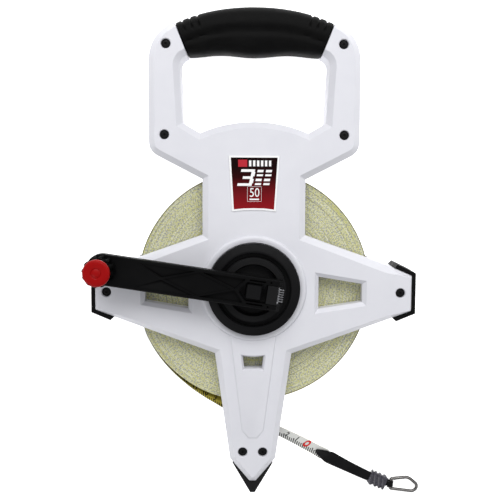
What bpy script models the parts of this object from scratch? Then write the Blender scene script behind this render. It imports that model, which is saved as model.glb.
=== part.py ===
"""Open-frame surveyor's tape reel with a geared, folding crank.

The reel lies on its back: +Z runs up the spool axis towards the crank, +Y runs towards the
carrying handle and the origin is on the spool axis, on the frame's flat back. Dimensions
below are millimetres; every mesh is written in metres.
"""
import math

import bmesh
import bpy
from mathutils import Matrix, Vector

MM = 0.001
GAP = 0.3                # room left between neighbouring pieces

# Frame: two mirrored halves screwed together around the spool
FRAME_DEPTH = 43.0
HALF_DEPTH = FRAME_DEPTH / 2.0 - GAP / 2.0
CHAMFER = 5.0            # width of the chamfer around the frame's outline
CHAMFER_DEPTH = 4.5
TIP_CHAMFER = 1.5        # the chamfer runs out towards the arm tips
LEG_CHAMFER = 4.4
LEG_SOLID_Y = -127.0     # the leg is solid below this
SKIN = 3.0               # wall left outside the hollow of each half
RIM = 5.5                # wall left around the hollow
HANDLE_X = 86.4
HANDLE_TOP = (65.6, 217.2)
HANDLE_LOW_Y = 112.8
NECK_X = 42.4
NECK_TOP_Y = 90.1
NECK_LOW_Y = 44.0
ARM_TIP_X = 131.7
ARM_TIP_Y = (10.6, -18.8)
ARM_BEND = ((111.5, 19.3), (112.1, -26.0))   # where the chamfer starts to run out
BEND_CHAMFER = (6.2, 3.5)
ARM_ROOT = (32.0, -55.3)
LEG_CORNER = (19.0, -145.4)
LEG_TIP = (2.7, -164.9)
OPENING_TOP_Y = 190.6
OPENING_CORNER_X = 61.9
OPENING_LOW = (58.6, 135.8)
OPENING_VEE = (44.4, 127.6)
OPENING_CROWN_Y = 136.9
WINDOW_X = (54.0, 90.3)
WINDOW_MID_Y = -3.7
WINDOW_HALF = (13.5, 7.6)
WINDOW_BEVEL = 3.4
LEG_WINDOW_Y = (-57.0, -67.8)
LEG_WINDOW_HALF = (8.8, 7.5)
PANEL = ((0.0, -42.5), (10.0, -41.3), (19.6, -37.7), (9.4, -120.2), (3.8, -127.0))
PANEL_RISE = 0.8
MOUTH_Y = (-90.0, -134.0)    # gap between the halves where the tape leaves

# Handle grip: two shells around the frame's top bar
GRIP_TOP_Y = 230.8
GRIP_BOTTOM = (54.8, 190.4)
GRIP_WAVE = 1.9          # finger swells along the underside
GRIP_SIDE = 0.8          # how far the grip stays inside the frame's two faces
BAR_MID_Y = 210.6
BAR_SAG = 6.5
BAR_HALF = 7.5
BAR_SKIN = 5.5

# Frame screws
SCREWS = ((72.0, 199.2), (73.4, 126.2), (121.8, -3.4), (8.4, -139.0))
SCREW_RECESS_R = 4.0
SCREW_RECESS_DEPTH = 4.6
SCREW_HEAD_R = 3.7
SCREW_SHANK_R = 1.6
BOSS_R = 6.0

# Spool and tape
TAPE_WIDTH = 13.0
TAPE_THICKNESS = 0.8     # thicker than the printed tape, which is about 0.45
SPOOL_Z = (15.0, 28.0)
SPOOL_SWEEP_R = 99.5     # the frame is relieved inside this radius
SPOOL_GAP_DEPTH = 13.5
COIL_R = 97.5
DRUM_R = (40.0, 43.0)
WEB_Z = (15.0, 18.0)
NECK_R = 8.3
BUSH_R = (4.35, 6.2)
AXLE_R = 4.0
AXLE_Z = (3.3, 37.6)
CLIP_Z = (28.4, 29.4)
CLIP_R = 7.0
CLIP_OPENING = math.radians(35.0)
WASHER_R = 9.0
WASHER_Z = (13.8, 14.6)

# Gear train: crank carries the planets, ring is fixed, sun drives the spool 3 to 1
MODULE = 1.1
SUN_TEETH = 24
PLANET_TEETH = 12
RING_TEETH = 48
PRESSURE_ANGLE = math.radians(20.0)
BACKLASH = 0.32          # taken off each tooth
PLANET_COUNT = 3
CARRIER_R = MODULE * (SUN_TEETH + PLANET_TEETH) / 2.0
GEAR_Z = (20.0, 27.6)
RING_R = 31.0
PLANET_BORE_R = 2.5
PLANET_PIN_R = 2.2
PLANET_PIN_HEAD_R = 3.1
PLANET_PIN_Z = (18.7, 19.6, 34.0)    # foot, top of the head, top

# Hub on the front face
HUB_SKIRT_R = 37.5
HUB_SKIRT_Z = 19.5
COLLAR_R = (38.7, 44.0)
COLLAR_RISE = 2.6
BEZEL_R = (31.2, 38.2)
BEZEL_TOP_Z = 54.0
DISC_FLANGE_R = 33.5
DISC_GROOVE_R = 30.8
DISC_RING_R = (21.5, 26.8)
DISC_FLOOR_R = 20.0
DISC_FLOOR_Z = 46.5
DISC_TOP_Z = 54.0
DISC_BOTTOM_Z = 28.0
DISC_FLANGE_Z = (36.9, 42.6)
CARRIER_RIM_R = 25.4
CLIP_POCKET_R = 9.0
CLIP_POCKET_Z = 31.3
AXLE_POCKET_Z = 38.2
CARRIER_BORE_R = 28.5    # hole in the frame that the carrier turns in
CARRIER_BORE_Z = (28.3, 36.5)

# Folding crank, drawn with the knob towards +X and turned to its angle afterwards
CRANK_ANGLE = math.radians(171.6)
CRANK_REACH = 123.2
CRANK_HALF = 12.6
CRANK_Z = (57.0, 67.0)
CRANK_MID_Z = (CRANK_Z[0] + CRANK_Z[1]) / 2.0
HINGE_X = -19.3
HINGE_PIN_R = 1.5
FORK_END_X = -22.3
END_TOP_X = -19.4        # the crank's end slopes from here down to FORK_END_X
END_SLOPE_Z = 63.6
FORK_HALF = 7.9          # half the gap between the fork's rails
RAIL_INNER = 10.2        # inside of the raised border along the crank
ARM_CROSSINGS = (97.0, 75.0, 45.5, 15.5)    # where its diagonal ribs start, cross and meet
BLOCK_X = (-22.3, -10.8)
BLOCK_HALF = 7.5
BLOCK_TOP_Z = 67.2
NOTCH_Z = (56.8, 66.1)   # the hinge spring's pocket in the block
NOTCH_HALF = 6.6
NOTCH_END_X = -15.4
HINGE_PIN_HALF = 12.2
HINGE_SPRING_PLACE = (-20.4, 61.4)   # the coil hangs a little off the pin's axis
HINGE_SPRING_R = 3.7
HINGE_SPRING_HALF = 5.6
BUTTON_HALF = 6.2
BUTTON_Z = (44.0, 65.4)
BUTTON_POCKET_Z = 39.8
BUTTON_BORE = (4.4, 56.2)    # radius and top of the hole for the spring
BUTTON_SPRING_Z = (40.7, 55.3)
KNOB_R = 10.7
KNOB_RIB_R = 11.3
KNOB_RIBS = 12
KNOB_Z = (67.4, 90.8)
CAP_Z = (91.1, 95.0)
CAP_PLUG_R = 5.2
CAP_PLUG_Z = 86.0
KNOB_PIN_R = 3.0
KNOB_PIN_HEAD_R = 5.1
KNOB_PIN_TOP_Z = 84.0
KNOB_STEP_Z = 81.6       # ledge inside the knob, under the pin's upper head

# Free end of the tape: places along its middle, and how far it has twisted from on edge
LEAD_ROUTE = (
    (-81.1, -56.8, 21.5), (-70.4, -69.9, 21.5), (-58.0, -81.4, 21.5), (-42.6, -91.8, 21.5),
    (-25.6, -101.0, 21.5), (-10.0, -110.4, 21.5), (6.0, -118.8, 21.5), (23.7, -127.4, 20.6),
    (39.0, -135.4, 17.8), (55.0, -144.8, 13.8))
LEAD_TWIST = (2.0, 5.0, 11.0, 21.0, 36.0, 20.0, -14.0, -40.0, -49.0, -53.0)
STRAP_ROUTE = (
    (55.35, -145.0, 13.7), (68.5, -152.3, 10.4), (86.0, -162.3, 6.6), (102.6, -171.5, 4.2))
STRAP_TWIST = (-54.0, -72.0, -76.0, -80.0)
STRAP_WIDTH = (12.8, 12.6, 10.2, 8.0)
STRAP_THICKNESS = 1.6
CLAMP_ENDS = ((104.2, -172.4), (117.6, -177.6))
CLAMP_HALF = 6.0
CLAMP_Z = (0.6, 7.2)
CLAMP_RIDGES = 4
RING_WIRE_R = 1.35
RING_CENTRE = (135.2, -181.0)
RING_ANGLE = math.radians(-5.0)
RING_Z = (2.9, 1.7)      # the ring slopes down to its free end
RING_LENGTH = 27.0
RING_WIDTHS = (11.6, 13.6)
LOOP_HALF = 2.6
LOOP_REACH = 3.2         # from the clamp to the ring's end bar

WHITE = ("white_abs", (0.80, 0.80, 0.83, 1.0), 0.45, 0.0)
BLACK = ("black_nylon", (0.02, 0.02, 0.022, 1.0), 0.5, 0.0)
RUBBER = ("black_rubber", (0.015, 0.015, 0.016, 1.0), 0.75, 0.0)
RED = ("red_abs", (0.60, 0.02, 0.02, 1.0), 0.4, 0.0)
LABEL = ("printed_label", (0.25, 0.02, 0.03, 1.0), 0.35, 0.0)
STEEL = ("bright_steel", (0.62, 0.63, 0.65, 1.0), 0.25, 1.0)
SCREW_BLACK = ("black_oxide_steel", (0.03, 0.03, 0.03, 1.0), 0.4, 0.9)
ACETAL = ("natural_acetal", (0.75, 0.74, 0.68, 1.0), 0.45, 0.0)
TAPE_EDGE = ("tape_edges", (0.60, 0.61, 0.42, 1.0), 0.6, 0.0)
TAPE_FACE = ("tape_face", (0.82, 0.82, 0.76, 1.0), 0.4, 0.0)
CLEAR_GREY = ("smoky_plastic", (0.30, 0.29, 0.36, 1.0), 0.3, 0.0)


# ---------------------------------------------------------------- small tools

def clear_scene():
    for item in list(bpy.data.objects):
        bpy.data.objects.remove(item, do_unlink=True)


def material(look):
    name, colour, roughness, metallic = look
    found = bpy.data.materials.get(name)
    if found:
        return found
    made = bpy.data.materials.new(name)
    made.use_nodes = True
    shader = made.node_tree.nodes["Principled BSDF"]
    shader.inputs["Base Color"].default_value = colour
    shader.inputs["Roughness"].default_value = roughness
    shader.inputs["Metallic"].default_value = metallic
    made.diffuse_color = colour
    return made


def add_empty(name, place=(0.0, 0.0, 0.0), parent=None, turn=0.0):
    empty = bpy.data.objects.new(name, None)
    empty.location = Vector(place) * MM
    empty.rotation_euler = (0.0, 0.0, turn)
    empty.parent = parent
    bpy.context.collection.objects.link(empty)
    return empty


def add_piece(name, bm, look=None, parent=None, pivot=(0.0, 0.0, 0.0), smooth=False):
    """Turn a millimetre bmesh into an object in metres whose origin is at the pivot."""
    bmesh.ops.recalc_face_normals(bm, faces=bm.faces)
    bmesh.ops.translate(bm, verts=bm.verts, vec=-Vector(pivot))
    bmesh.ops.scale(bm, verts=bm.verts, vec=(MM, MM, MM))
    mesh = bpy.data.meshes.new(name)
    bm.to_mesh(mesh)
    bm.free()
    piece = bpy.data.objects.new(name, mesh)
    bpy.context.collection.objects.link(piece)
    piece.parent = parent
    piece.location = Vector(pivot) * MM
    if look:
        mesh.materials.append(material(look))
    if smooth:
        mesh.shade_smooth()
        mesh.set_sharp_from_angle(angle=math.radians(32.0))
    return piece


def add_guide(name, bm, parent=None, pivot=(0.0, 0.0, 0.0)):
    guide = add_piece(name, bm, parent=parent, pivot=pivot)
    guide.hide_render = True
    guide.display_type = "WIRE"
    return guide


def combine(piece, guide, operation):
    boolean = piece.modifiers.new(guide.name, "BOOLEAN")
    boolean.operation = operation
    boolean.solver = "EXACT"
    boolean.object = guide


def cut(piece, guide):
    combine(piece, guide, "DIFFERENCE")


def unite(piece, guide):
    combine(piece, guide, "UNION")


def circle(radius, count, centre=(0.0, 0.0), start=0.0, stop=math.tau, closed=True):
    steps = count if closed else count - 1
    points = []
    for index in range(count):
        angle = start + (stop - start) * index / steps
        points.append((centre[0] + radius * math.cos(angle), centre[1] + radius * math.sin(angle)))
    return points


def rounded(corners, steps=5):
    """Polygon from (x, y, radius) corners, each radius drawn as an arc."""
    points = []
    count = len(corners)
    for index, (x, y, radius) in enumerate(corners):
        here = Vector((x, y))
        if radius <= 0.0:
            points.append((x, y))
            continue
        before = (Vector(corners[index - 1][:2]) - here).normalized()
        after = (Vector(corners[(index + 1) % count][:2]) - here).normalized()
        half = before.angle(after) / 2.0
        reach = radius / math.tan(half)
        centre = here + (before + after).normalized() * radius / math.sin(half)
        first = here + before * reach - centre
        last = here + after * reach - centre
        sweep = first.angle_signed(last)
        for step in range(steps + 1):
            arm = first.copy()
            arm.rotate(Matrix.Rotation(-sweep * step / steps, 2))
            points.append(tuple(centre + arm))
    return points


def area(points):
    total = 0.0
    for index, (x, y) in enumerate(points):
        next_x, next_y = points[(index + 1) % len(points)]
        total += x * next_y - next_x * y
    return total / 2.0


def offset(points, distances):
    """Move a closed outline inwards, with mitred corners; one distance, or one per point."""
    count = len(points)
    if not hasattr(distances, "__len__"):
        distances = [distances] * count
    side = 1.0 if area(points) > 0.0 else -1.0
    moved = []
    for index in range(count):
        here = Vector(points[index])
        into = (here - Vector(points[index - 1])).normalized()
        out = (Vector(points[(index + 1) % count]) - here).normalized()
        mitre = Vector((-into.y - out.y, into.x + out.x)) * side
        mitre.normalize()
        cosine = mitre.dot(Vector((-into.y, into.x)) * side)
        moved.append(tuple(here + mitre * (distances[index] / max(cosine, 0.3))))
    return moved


def mirrored(half):
    """Close a right-hand half outline, listed from top to bottom, with its mirror image."""
    left = [(-x, y) for x, y in reversed(half) if abs(x) > 1e-6]
    return half + left


def loft(loops):
    """Closed solid through equal loops of (x, y, z), capped at both ends."""
    bm = bmesh.new()
    rings = [[bm.verts.new(point) for point in loop] for loop in loops]
    count = len(rings[0])
    for low, high in zip(rings, rings[1:]):
        for index in range(count):
            after = (index + 1) % count
            bm.faces.new((low[index], low[after], high[after], high[index]))
    bm.faces.new(list(reversed(rings[0])))
    bm.faces.new(rings[-1])
    return bm


def at(points, z):
    return [(x, y, z) for x, y in points]


def prism(points, low, high):
    return loft([at(points, low), at(points, high)])


def box(low, high):
    corners = [(low[0], low[1]), (high[0], low[1]), (high[0], high[1]), (low[0], high[1])]
    return prism(corners, low[2], high[2])


def plate(outer, holes, low, high):
    """Flat plate with holes."""
    bm = bmesh.new()
    edges = []
    for loop in [outer] + list(holes):
        verts = [bm.verts.new((x, y, low)) for x, y in loop]
        for index, vert in enumerate(verts):
            edges.append(bm.edges.new((vert, verts[(index + 1) % len(verts)])))
    filled = bmesh.ops.triangle_fill(bm, edges=edges, use_beauty=True)
    faces = [item for item in filled["geom"] if isinstance(item, bmesh.types.BMFace)]
    grown = bmesh.ops.extrude_face_region(bm, geom=faces)
    lifted = [item for item in grown["geom"] if isinstance(item, bmesh.types.BMVert)]
    bmesh.ops.translate(bm, verts=lifted, vec=(0.0, 0.0, high - low))
    return bm


def lathe(profile, segments, centre=(0.0, 0.0)):
    """Turn a closed (radius, z) profile about a vertical axis."""
    bm = bmesh.new()
    rings = []
    for radius, z in profile:
        if radius < 1e-6:
            pole = bm.verts.new((centre[0], centre[1], z))
            rings.append([pole] * segments)
        else:
            ring = circle(radius, segments, centre)
            rings.append([bm.verts.new((x, y, z)) for x, y in ring])
    for index, ring in enumerate(rings):
        after = rings[(index + 1) % len(rings)]
        for step in range(segments):
            ahead = (step + 1) % segments
            corners = []
            for vert in (ring[step], ring[ahead], after[ahead], after[step]):
                if vert not in corners:
                    corners.append(vert)
            if len(corners) > 2:
                bm.faces.new(corners)
    return bm


def smooth_route(places, spacing):
    """Even points on a Catmull-Rom curve through the places, with each one's position along
    the list so that widths and twists can follow it."""
    knots = [Vector(place) for place in places]
    knots = [2 * knots[0] - knots[1]] + knots + [2 * knots[-1] - knots[-2]]
    points = []
    for index in range(1, len(knots) - 2):
        a, b, c, d = knots[index - 1:index + 3]
        steps = max(2, round((c - b).length / spacing))
        for step in range(steps):
            t = step / steps
            curve = (2 * b + (c - a) * t + (2 * a - 5 * b + 4 * c - d) * t ** 2
                     + (3 * b - a - 3 * c + d) * t ** 3) / 2.0
            points.append((index - 1 + t, curve))
    points.append((len(places) - 1.0, knots[-2]))
    return points


def between(values, position):
    """Value at a fractional position along a list."""
    index = min(int(position), len(values) - 2)
    t = position - index
    return values[index] + (values[index + 1] - values[index]) * t


def ribbon(places, twists, widths, thickness, spacing=4.0):
    """Flat strap along a smooth route. A twist of zero stands the strap on edge; a positive
    one leans its upper edge away from the spool."""
    route = smooth_route(places, spacing)
    loops = []
    for index, (position, here) in enumerate(route):
        before = route[max(index - 1, 0)][1]
        after = route[min(index + 1, len(route) - 1)][1]
        along = (after - before).normalized()
        outward = along.cross(Vector((0.0, 0.0, 1.0))).normalized()
        up = outward.cross(along)
        angle = math.radians(between(twists, position))
        width = (up * math.cos(angle) + outward * math.sin(angle)) * between(widths, position) / 2.0
        depth = (outward * math.cos(angle) - up * math.sin(angle)) * thickness / 2.0
        loops.append([tuple(here + a * width + b * depth)
                      for a, b in ((-1, -1), (1, -1), (1, 1), (-1, 1))])
    return loft(loops)


def tube(points, radius, sides, closed=False):
    """Round wire along a list of points."""
    places = [Vector(point) for point in points]
    count = len(places)
    loops = []
    normal = None
    for index, here in enumerate(places):
        before = places[index - 1] if closed or index else here
        after = places[(index + 1) % count] if closed or index < count - 1 else here
        along = (after - before).normalized()
        if normal is None:
            normal = along.orthogonal().normalized()
        normal = (normal - along * normal.dot(along)).normalized()
        side = along.cross(normal)
        ring = circle(radius, sides)
        loops.append([here + normal * x + side * y for x, y in ring])
    if not closed:
        return loft(loops)
    bm = bmesh.new()
    rings = [[bm.verts.new(point) for point in loop] for loop in loops]
    for index, ring in enumerate(rings):
        ahead = rings[(index + 1) % count]
        for step in range(sides):
            after = (step + 1) % sides
            bm.faces.new((ring[step], ring[after], ahead[after], ahead[step]))
    return bm


def helix(radius, low, high, turns, steps):
    count = round(turns * steps)
    points = []
    for index in range(count + 1):
        angle = math.tau * turns * index / count
        height = low + (high - low) * index / count
        points.append((radius * math.cos(angle), radius * math.sin(angle), height))
    return points


# ---------------------------------------------------------------- frame outlines

def bezier(a, b, c, d, steps):
    points = []
    for index in range(steps + 1):
        t = index / steps
        s = 1.0 - t
        points.append(tuple(s ** 3 * Vector(a) + 3 * s * s * t * Vector(b)
                            + 3 * s * t * t * Vector(c) + t ** 3 * Vector(d)))
    return points


def frame_corners():
    """The frame's outline as (x, y, fillet radius, chamfer width) corners."""
    shoulder = bezier(HANDLE_TOP, (78.0, 211.5), (HANDLE_X, 202.0), (HANDLE_X, 184.3), 8)
    half = [(0.0, 225.0, 0.0, CHAMFER), (36.0, 222.8, 0.0, CHAMFER)]
    half += [(x, y, 0.0, CHAMFER) for x, y in shoulder]
    half += [
        (HANDLE_X, HANDLE_LOW_Y, 12.0, CHAMFER),
        (NECK_X, NECK_TOP_Y, 0.0, CHAMFER),
        (NECK_X, NECK_LOW_Y, 0.0, CHAMFER),
        (ARM_BEND[0][0], ARM_BEND[0][1], 0.0, BEND_CHAMFER[0]),
        (ARM_TIP_X, ARM_TIP_Y[0], 1.5, TIP_CHAMFER),
        (ARM_TIP_X, ARM_TIP_Y[1], 1.5, TIP_CHAMFER),
        (ARM_BEND[1][0], ARM_BEND[1][1], 0.0, BEND_CHAMFER[1]),
        (ARM_ROOT[0], ARM_ROOT[1], 0.0, CHAMFER),
        (LEG_CORNER[0], LEG_CORNER[1], 2.0, LEG_CHAMFER),
        (LEG_TIP[0], LEG_TIP[1], 1.5, LEG_CHAMFER),
    ]
    return half + [(-corner[0],) + corner[1:] for corner in reversed(half) if corner[0] > 0.0]


def inset_outline(corners, distances):
    """Inset the sharp corners first and round them afterwards, so that no fillet folds over."""
    points = [corner[:2] for corner in corners]
    side = 1.0 if area(points) > 0.0 else -1.0
    moved = offset(points, distances)
    fillets = []
    for index, (x, y) in enumerate(moved):
        radius = corners[index][2]
        if radius > 0.0:
            into = Vector(points[index]) - Vector(points[index - 1])
            out = Vector(points[(index + 1) % len(points)]) - Vector(points[index])
            convex = into.cross(out) * side > 0.0
            radius += -distances[index] if convex else distances[index]
            radius = max(radius, 0.3)
        fillets.append((x, y, radius))
    return rounded(fillets, steps=3)


def opening_outline():
    """Hand opening: straight sides, a vee each side and an arch over the body."""
    rise = OPENING_CROWN_Y - OPENING_VEE[1]
    radius = (OPENING_VEE[0] ** 2 + rise ** 2) / (2.0 * rise)
    centre = (0.0, OPENING_CROWN_Y - radius)
    start = math.atan2(OPENING_VEE[1] - centre[1], OPENING_VEE[0])
    arch = circle(radius, 13, centre, start, math.pi - start, closed=False)
    corners = [(OPENING_CORNER_X, OPENING_TOP_Y, 8.5), (OPENING_LOW[0], OPENING_LOW[1], 0.0)]
    corners += [(x, y, 0.0) for x, y in arch]
    corners += [(-OPENING_LOW[0], OPENING_LOW[1], 0.0), (-OPENING_CORNER_X, OPENING_TOP_Y, 8.5)]
    return rounded(corners, steps=5)


def window_outline(side):
    near, far = WINDOW_X
    top, end = WINDOW_HALF
    corners = [(near, WINDOW_MID_Y + top), (near, WINDOW_MID_Y - top),
               (far, WINDOW_MID_Y - end), (far, WINDOW_MID_Y + end)]
    return [(side * x, y) for x, y in corners]


def leg_window_outline():
    """Small window whose upper edge is concentric with the hub."""
    radius = math.hypot(LEG_WINDOW_HALF[0], LEG_WINDOW_Y[0])
    reach = math.asin(LEG_WINDOW_HALF[0] / radius)
    top = circle(radius, 5, start=-math.pi / 2 - reach, stop=-math.pi / 2 + reach, closed=False)
    return top + [(LEG_WINDOW_HALF[1], LEG_WINDOW_Y[1]), (-LEG_WINDOW_HALF[1], LEG_WINDOW_Y[1])]


def bar_outline(grow=0.0, reach=68.0):
    """Bar under the grip, bowed like the grip itself."""
    top = []
    bottom = []
    for index in range(9):
        x = reach - 2.0 * reach * index / 8
        middle = BAR_MID_Y - BAR_SAG * (x / HANDLE_TOP[0]) ** 2
        top.append((x, middle + BAR_HALF + grow))
        bottom.append((-x, middle - BAR_HALF - grow))
    return top + bottom


def grip_zone():
    """Region between the two slanted shoulders, which belongs to the grip."""
    slope = (HANDLE_TOP[0] - GRIP_BOTTOM[0]) / (HANDLE_TOP[1] - GRIP_BOTTOM[1])
    low_y = GRIP_BOTTOM[1] - 12.0
    high_y = GRIP_TOP_Y + 10.0
    low_x = GRIP_BOTTOM[0] - slope * (GRIP_BOTTOM[1] - low_y)
    high_x = HANDLE_TOP[0] + slope * (high_y - HANDLE_TOP[1])
    return [(high_x, high_y), (-high_x, high_y), (-low_x, low_y), (low_x, low_y)]


def all_screws():
    return [(side * x, y) for x, y in SCREWS for side in (-1.0, 1.0)]


# ---------------------------------------------------------------- frame halves

class Half:
    """Maps depth below a half's outer face to world height."""

    def __init__(self, label, front):
        self.label = label
        self.front = front

    def z(self, depth):
        return FRAME_DEPTH - depth if self.front else depth

    def prism(self, name, points, low, high):
        return add_guide(f"{self.label}_{name}", prism(points, self.z(low), self.z(high)))

    def flared(self, name, points, grow, depth):
        """Through cutter that opens out towards the outer face by grow over depth."""
        start = -1.0
        slope = grow / depth
        loops = [at(offset(points, -(grow - slope * start)), self.z(start)),
                 at(points, self.z(depth)), at(points, self.z(FRAME_DEPTH / 2.0 + 2.0))]
        return add_guide(f"{self.label}_{name}", loft(loops))


def make_hollow(half, corners):
    """Inside of the half: an inset of its outline, less the walls and bosses that stay."""
    deep = FRAME_DEPTH / 2.0 + 4.0
    distances = [RIM if corner[3] > LEG_CHAMFER or abs(corner[0]) > 100.0 else LEG_CHAMFER
                 for corner in corners]
    hollow = half.prism("hollow", inset_outline(corners, distances), SKIN, deep)
    wide = 200.0
    keep = [half.prism("bar_block", [(-wide, 186.0), (wide, 186.0), (wide, 300.0),
                                     (-wide, 300.0)], SKIN - 1.0, deep + 1.0),
            half.prism("leg_end", [(-wide, LEG_SOLID_Y), (wide, LEG_SOLID_Y), (wide, -300.0),
                                   (-wide, -300.0)], SKIN - 1.0, deep + 1.0),
            half.prism("opening_rim", offset(opening_outline(), -RIM), SKIN - 1.0, deep + 1.0),
            half.prism("leg_rim", offset(leg_window_outline(), -2.5), SKIN - 1.0, deep + 1.0),
            half.prism("hub_wall", circle(46.0 if half.front else 14.0, 24), SKIN - 1.0,
                       deep + 1.0)]
    for side, name in ((-1.0, "left"), (1.0, "right")):
        keep.append(half.prism(f"{name}_rim", offset(window_outline(side), -2.5), SKIN - 1.0,
                               deep + 1.0))
    for index, place in enumerate(all_screws()):
        keep.append(half.prism(f"boss_{index}", circle(BOSS_R, 8, place), SKIN - 1.0,
                               deep + 1.0))
    for guide in keep:
        cut(hollow, guide)
    return hollow


def make_grip_cutter(half):
    """Clears the grip's place but leaves the bar inside it."""
    cutter = half.prism("grip_zone", grip_zone(), -1.0, FRAME_DEPTH / 2.0 + 2.0)
    bar = half.prism("bar", bar_outline(), BAR_SKIN, FRAME_DEPTH / 2.0 + 3.0)
    cut(cutter, bar)
    return cutter


def make_frame_half(half, name):
    corners = frame_corners()
    outline = inset_outline(corners, [0.0] * len(corners))
    face = inset_outline(corners, [corner[3] for corner in corners])
    body = add_piece(name, loft([at(face, half.z(0.0)), at(outline, half.z(CHAMFER_DEPTH)),
                                 at(outline, half.z(HALF_DEPTH))]), WHITE)
    cut(body, make_hollow(half, corners))
    cut(body, half.flared("opening", opening_outline(), CHAMFER, CHAMFER_DEPTH))
    cut(body, make_grip_cutter(half))
    cut(body, half.prism("spool_sweep", circle(SPOOL_SWEEP_R, 56), SPOOL_GAP_DEPTH,
                         FRAME_DEPTH / 2.0 + 2.0))
    mouth = [(-40.0, MOUTH_Y[0]), (40.0, MOUTH_Y[0]), (40.0, MOUTH_Y[1]), (-40.0, MOUTH_Y[1])]
    cut(body, half.prism("mouth", mouth, SPOOL_GAP_DEPTH, FRAME_DEPTH / 2.0 + 2.0))
    if half.front:
        panel = mirrored(list(PANEL))
        unite(body, add_guide("front_panel", loft([
            at(panel, half.z(0.5)), at(panel, half.z(0.0)),
            at(offset(panel, 1.1), half.z(-PANEL_RISE))])))
    for side, label in ((-1.0, "left"), (1.0, "right")):
        cut(body, half.flared(f"{label}_window", window_outline(side), WINDOW_BEVEL, 3.0))
    cut(body, half.flared("leg_window", leg_window_outline(), 1.0, 1.8))
    return body


def make_front_frame():
    half = Half("front", True)
    body = make_frame_half(half, "front_frame")
    skirt = prism(circle(HUB_SKIRT_R, 32), HUB_SKIRT_Z, FRAME_DEPTH - 2.0)
    unite(body, add_guide("front_skirt", skirt))
    face = FRAME_DEPTH
    collar = lathe([(COLLAR_R[0], face - 1.0), (COLLAR_R[1], face - 1.0), (COLLAR_R[1], face + 0.3),
                    (COLLAR_R[1] - 3.0, face + COLLAR_RISE), (COLLAR_R[0], face + COLLAR_RISE)], 44)
    unite(body, add_guide("front_collar", collar))
    flange = DISC_FLANGE_R + 0.5
    low, high = CARRIER_BORE_Z
    ring = RING_R + GAP
    bore = lathe([(0.0, face + 9.0), (flange, face + 9.0), (flange, high), (CARRIER_BORE_R, high),
                  (CARRIER_BORE_R, low), (ring, low), (ring, 10.0), (0.0, 10.0)], 32)
    cut(body, add_guide("front_bore", bore))
    for index, place in enumerate(all_screws()):
        depth = face - SCREW_RECESS_DEPTH
        hole = lathe([(0.0, face + 1.0), (SCREW_RECESS_R + 1.6, face + 1.0),
                      (SCREW_RECESS_R, face - 0.6), (SCREW_RECESS_R, depth),
                      (SCREW_SHANK_R + GAP, depth), (SCREW_SHANK_R + GAP, 10.0), (0.0, 10.0)],
                     14, place)
        cut(body, add_guide(f"front_hole_{index}", hole))
    return body


def make_rear_frame():
    body = make_frame_half(Half("rear", False), "rear_frame")
    axle_bore = prism(circle(AXLE_R + GAP, 16), SKIN, FRAME_DEPTH)
    cut(body, add_guide("rear_axle_bore", axle_bore))
    for index, place in enumerate(all_screws()):
        hole = prism(circle(SCREW_SHANK_R + GAP, 8, place), 7.5, FRAME_DEPTH)
        cut(body, add_guide(f"rear_hole_{index}", hole))
    return body


def make_frame_screws():
    head_z = FRAME_DEPTH - SCREW_RECESS_DEPTH + GAP
    for index, place in enumerate(all_screws(), start=1):
        profile = [(0.0, 8.0), (SCREW_SHANK_R, 8.0), (SCREW_SHANK_R, head_z),
                   (SCREW_HEAD_R, head_z), (SCREW_HEAD_R, head_z + 1.6),
                   (SCREW_HEAD_R - 0.8, head_z + 2.6), (1.5, head_z + 2.6),
                   (1.3, head_z + 1.0), (0.0, head_z + 1.0)]
        add_piece(f"frame_screw_{index}", lathe(profile, 8, place), SCREW_BLACK, smooth=True)


def make_label():
    arch = 1.1
    outline = [(19.4, 108.1), (-19.4, 108.1), (-16.7, 65.2), (-8.5, 65.2 + arch * 0.8),
               (0.0, 65.2 + arch), (8.5, 65.2 + arch * 0.8), (16.7, 65.2)]
    add_piece("label_plate", prism(outline, FRAME_DEPTH + GAP, FRAME_DEPTH + GAP + 0.5), LABEL)


def make_bumper(name, side):
    """Rubber shoe around the outside of an arm tip."""
    skin = 3.0
    slope_top = (ARM_BEND[0][1] - ARM_TIP_Y[0]) / (ARM_TIP_X - ARM_BEND[0][0])
    slope_low = (ARM_TIP_Y[1] - ARM_BEND[1][1]) / (ARM_TIP_X - ARM_BEND[1][0])
    top_x = 116.6
    low_x = 116.0
    inner = [(top_x, ARM_TIP_Y[0] + slope_top * (ARM_TIP_X - top_x)), (ARM_TIP_X, ARM_TIP_Y[0]),
             (ARM_TIP_X, ARM_TIP_Y[1]), (low_x, ARM_TIP_Y[1] - slope_low * (ARM_TIP_X - low_x))]
    normals = [Vector((slope_top, 1.0)).normalized(), Vector((1.0, 0.0)),
               Vector((slope_low, -1.0)).normalized()]

    def pushed(distance):
        path = [Vector(inner[0]) + normals[0] * distance]
        for index in (1, 2):
            total = normals[index - 1] + normals[index]
            path.append(Vector(inner[index]) + total * distance / (1.0 + normals[index - 1].dot(
                normals[index])))
        path.append(Vector(inner[3]) + normals[2] * distance)
        return path

    near = pushed(GAP)
    far = pushed(GAP + skin)
    far[0].x += 2.0
    far[3].x += 2.0
    outline = [(side * point.x, point.y) for point in near + list(reversed(far))]
    add_piece(name, prism(outline, 4.0, FRAME_DEPTH - 4.0), RUBBER)


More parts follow.
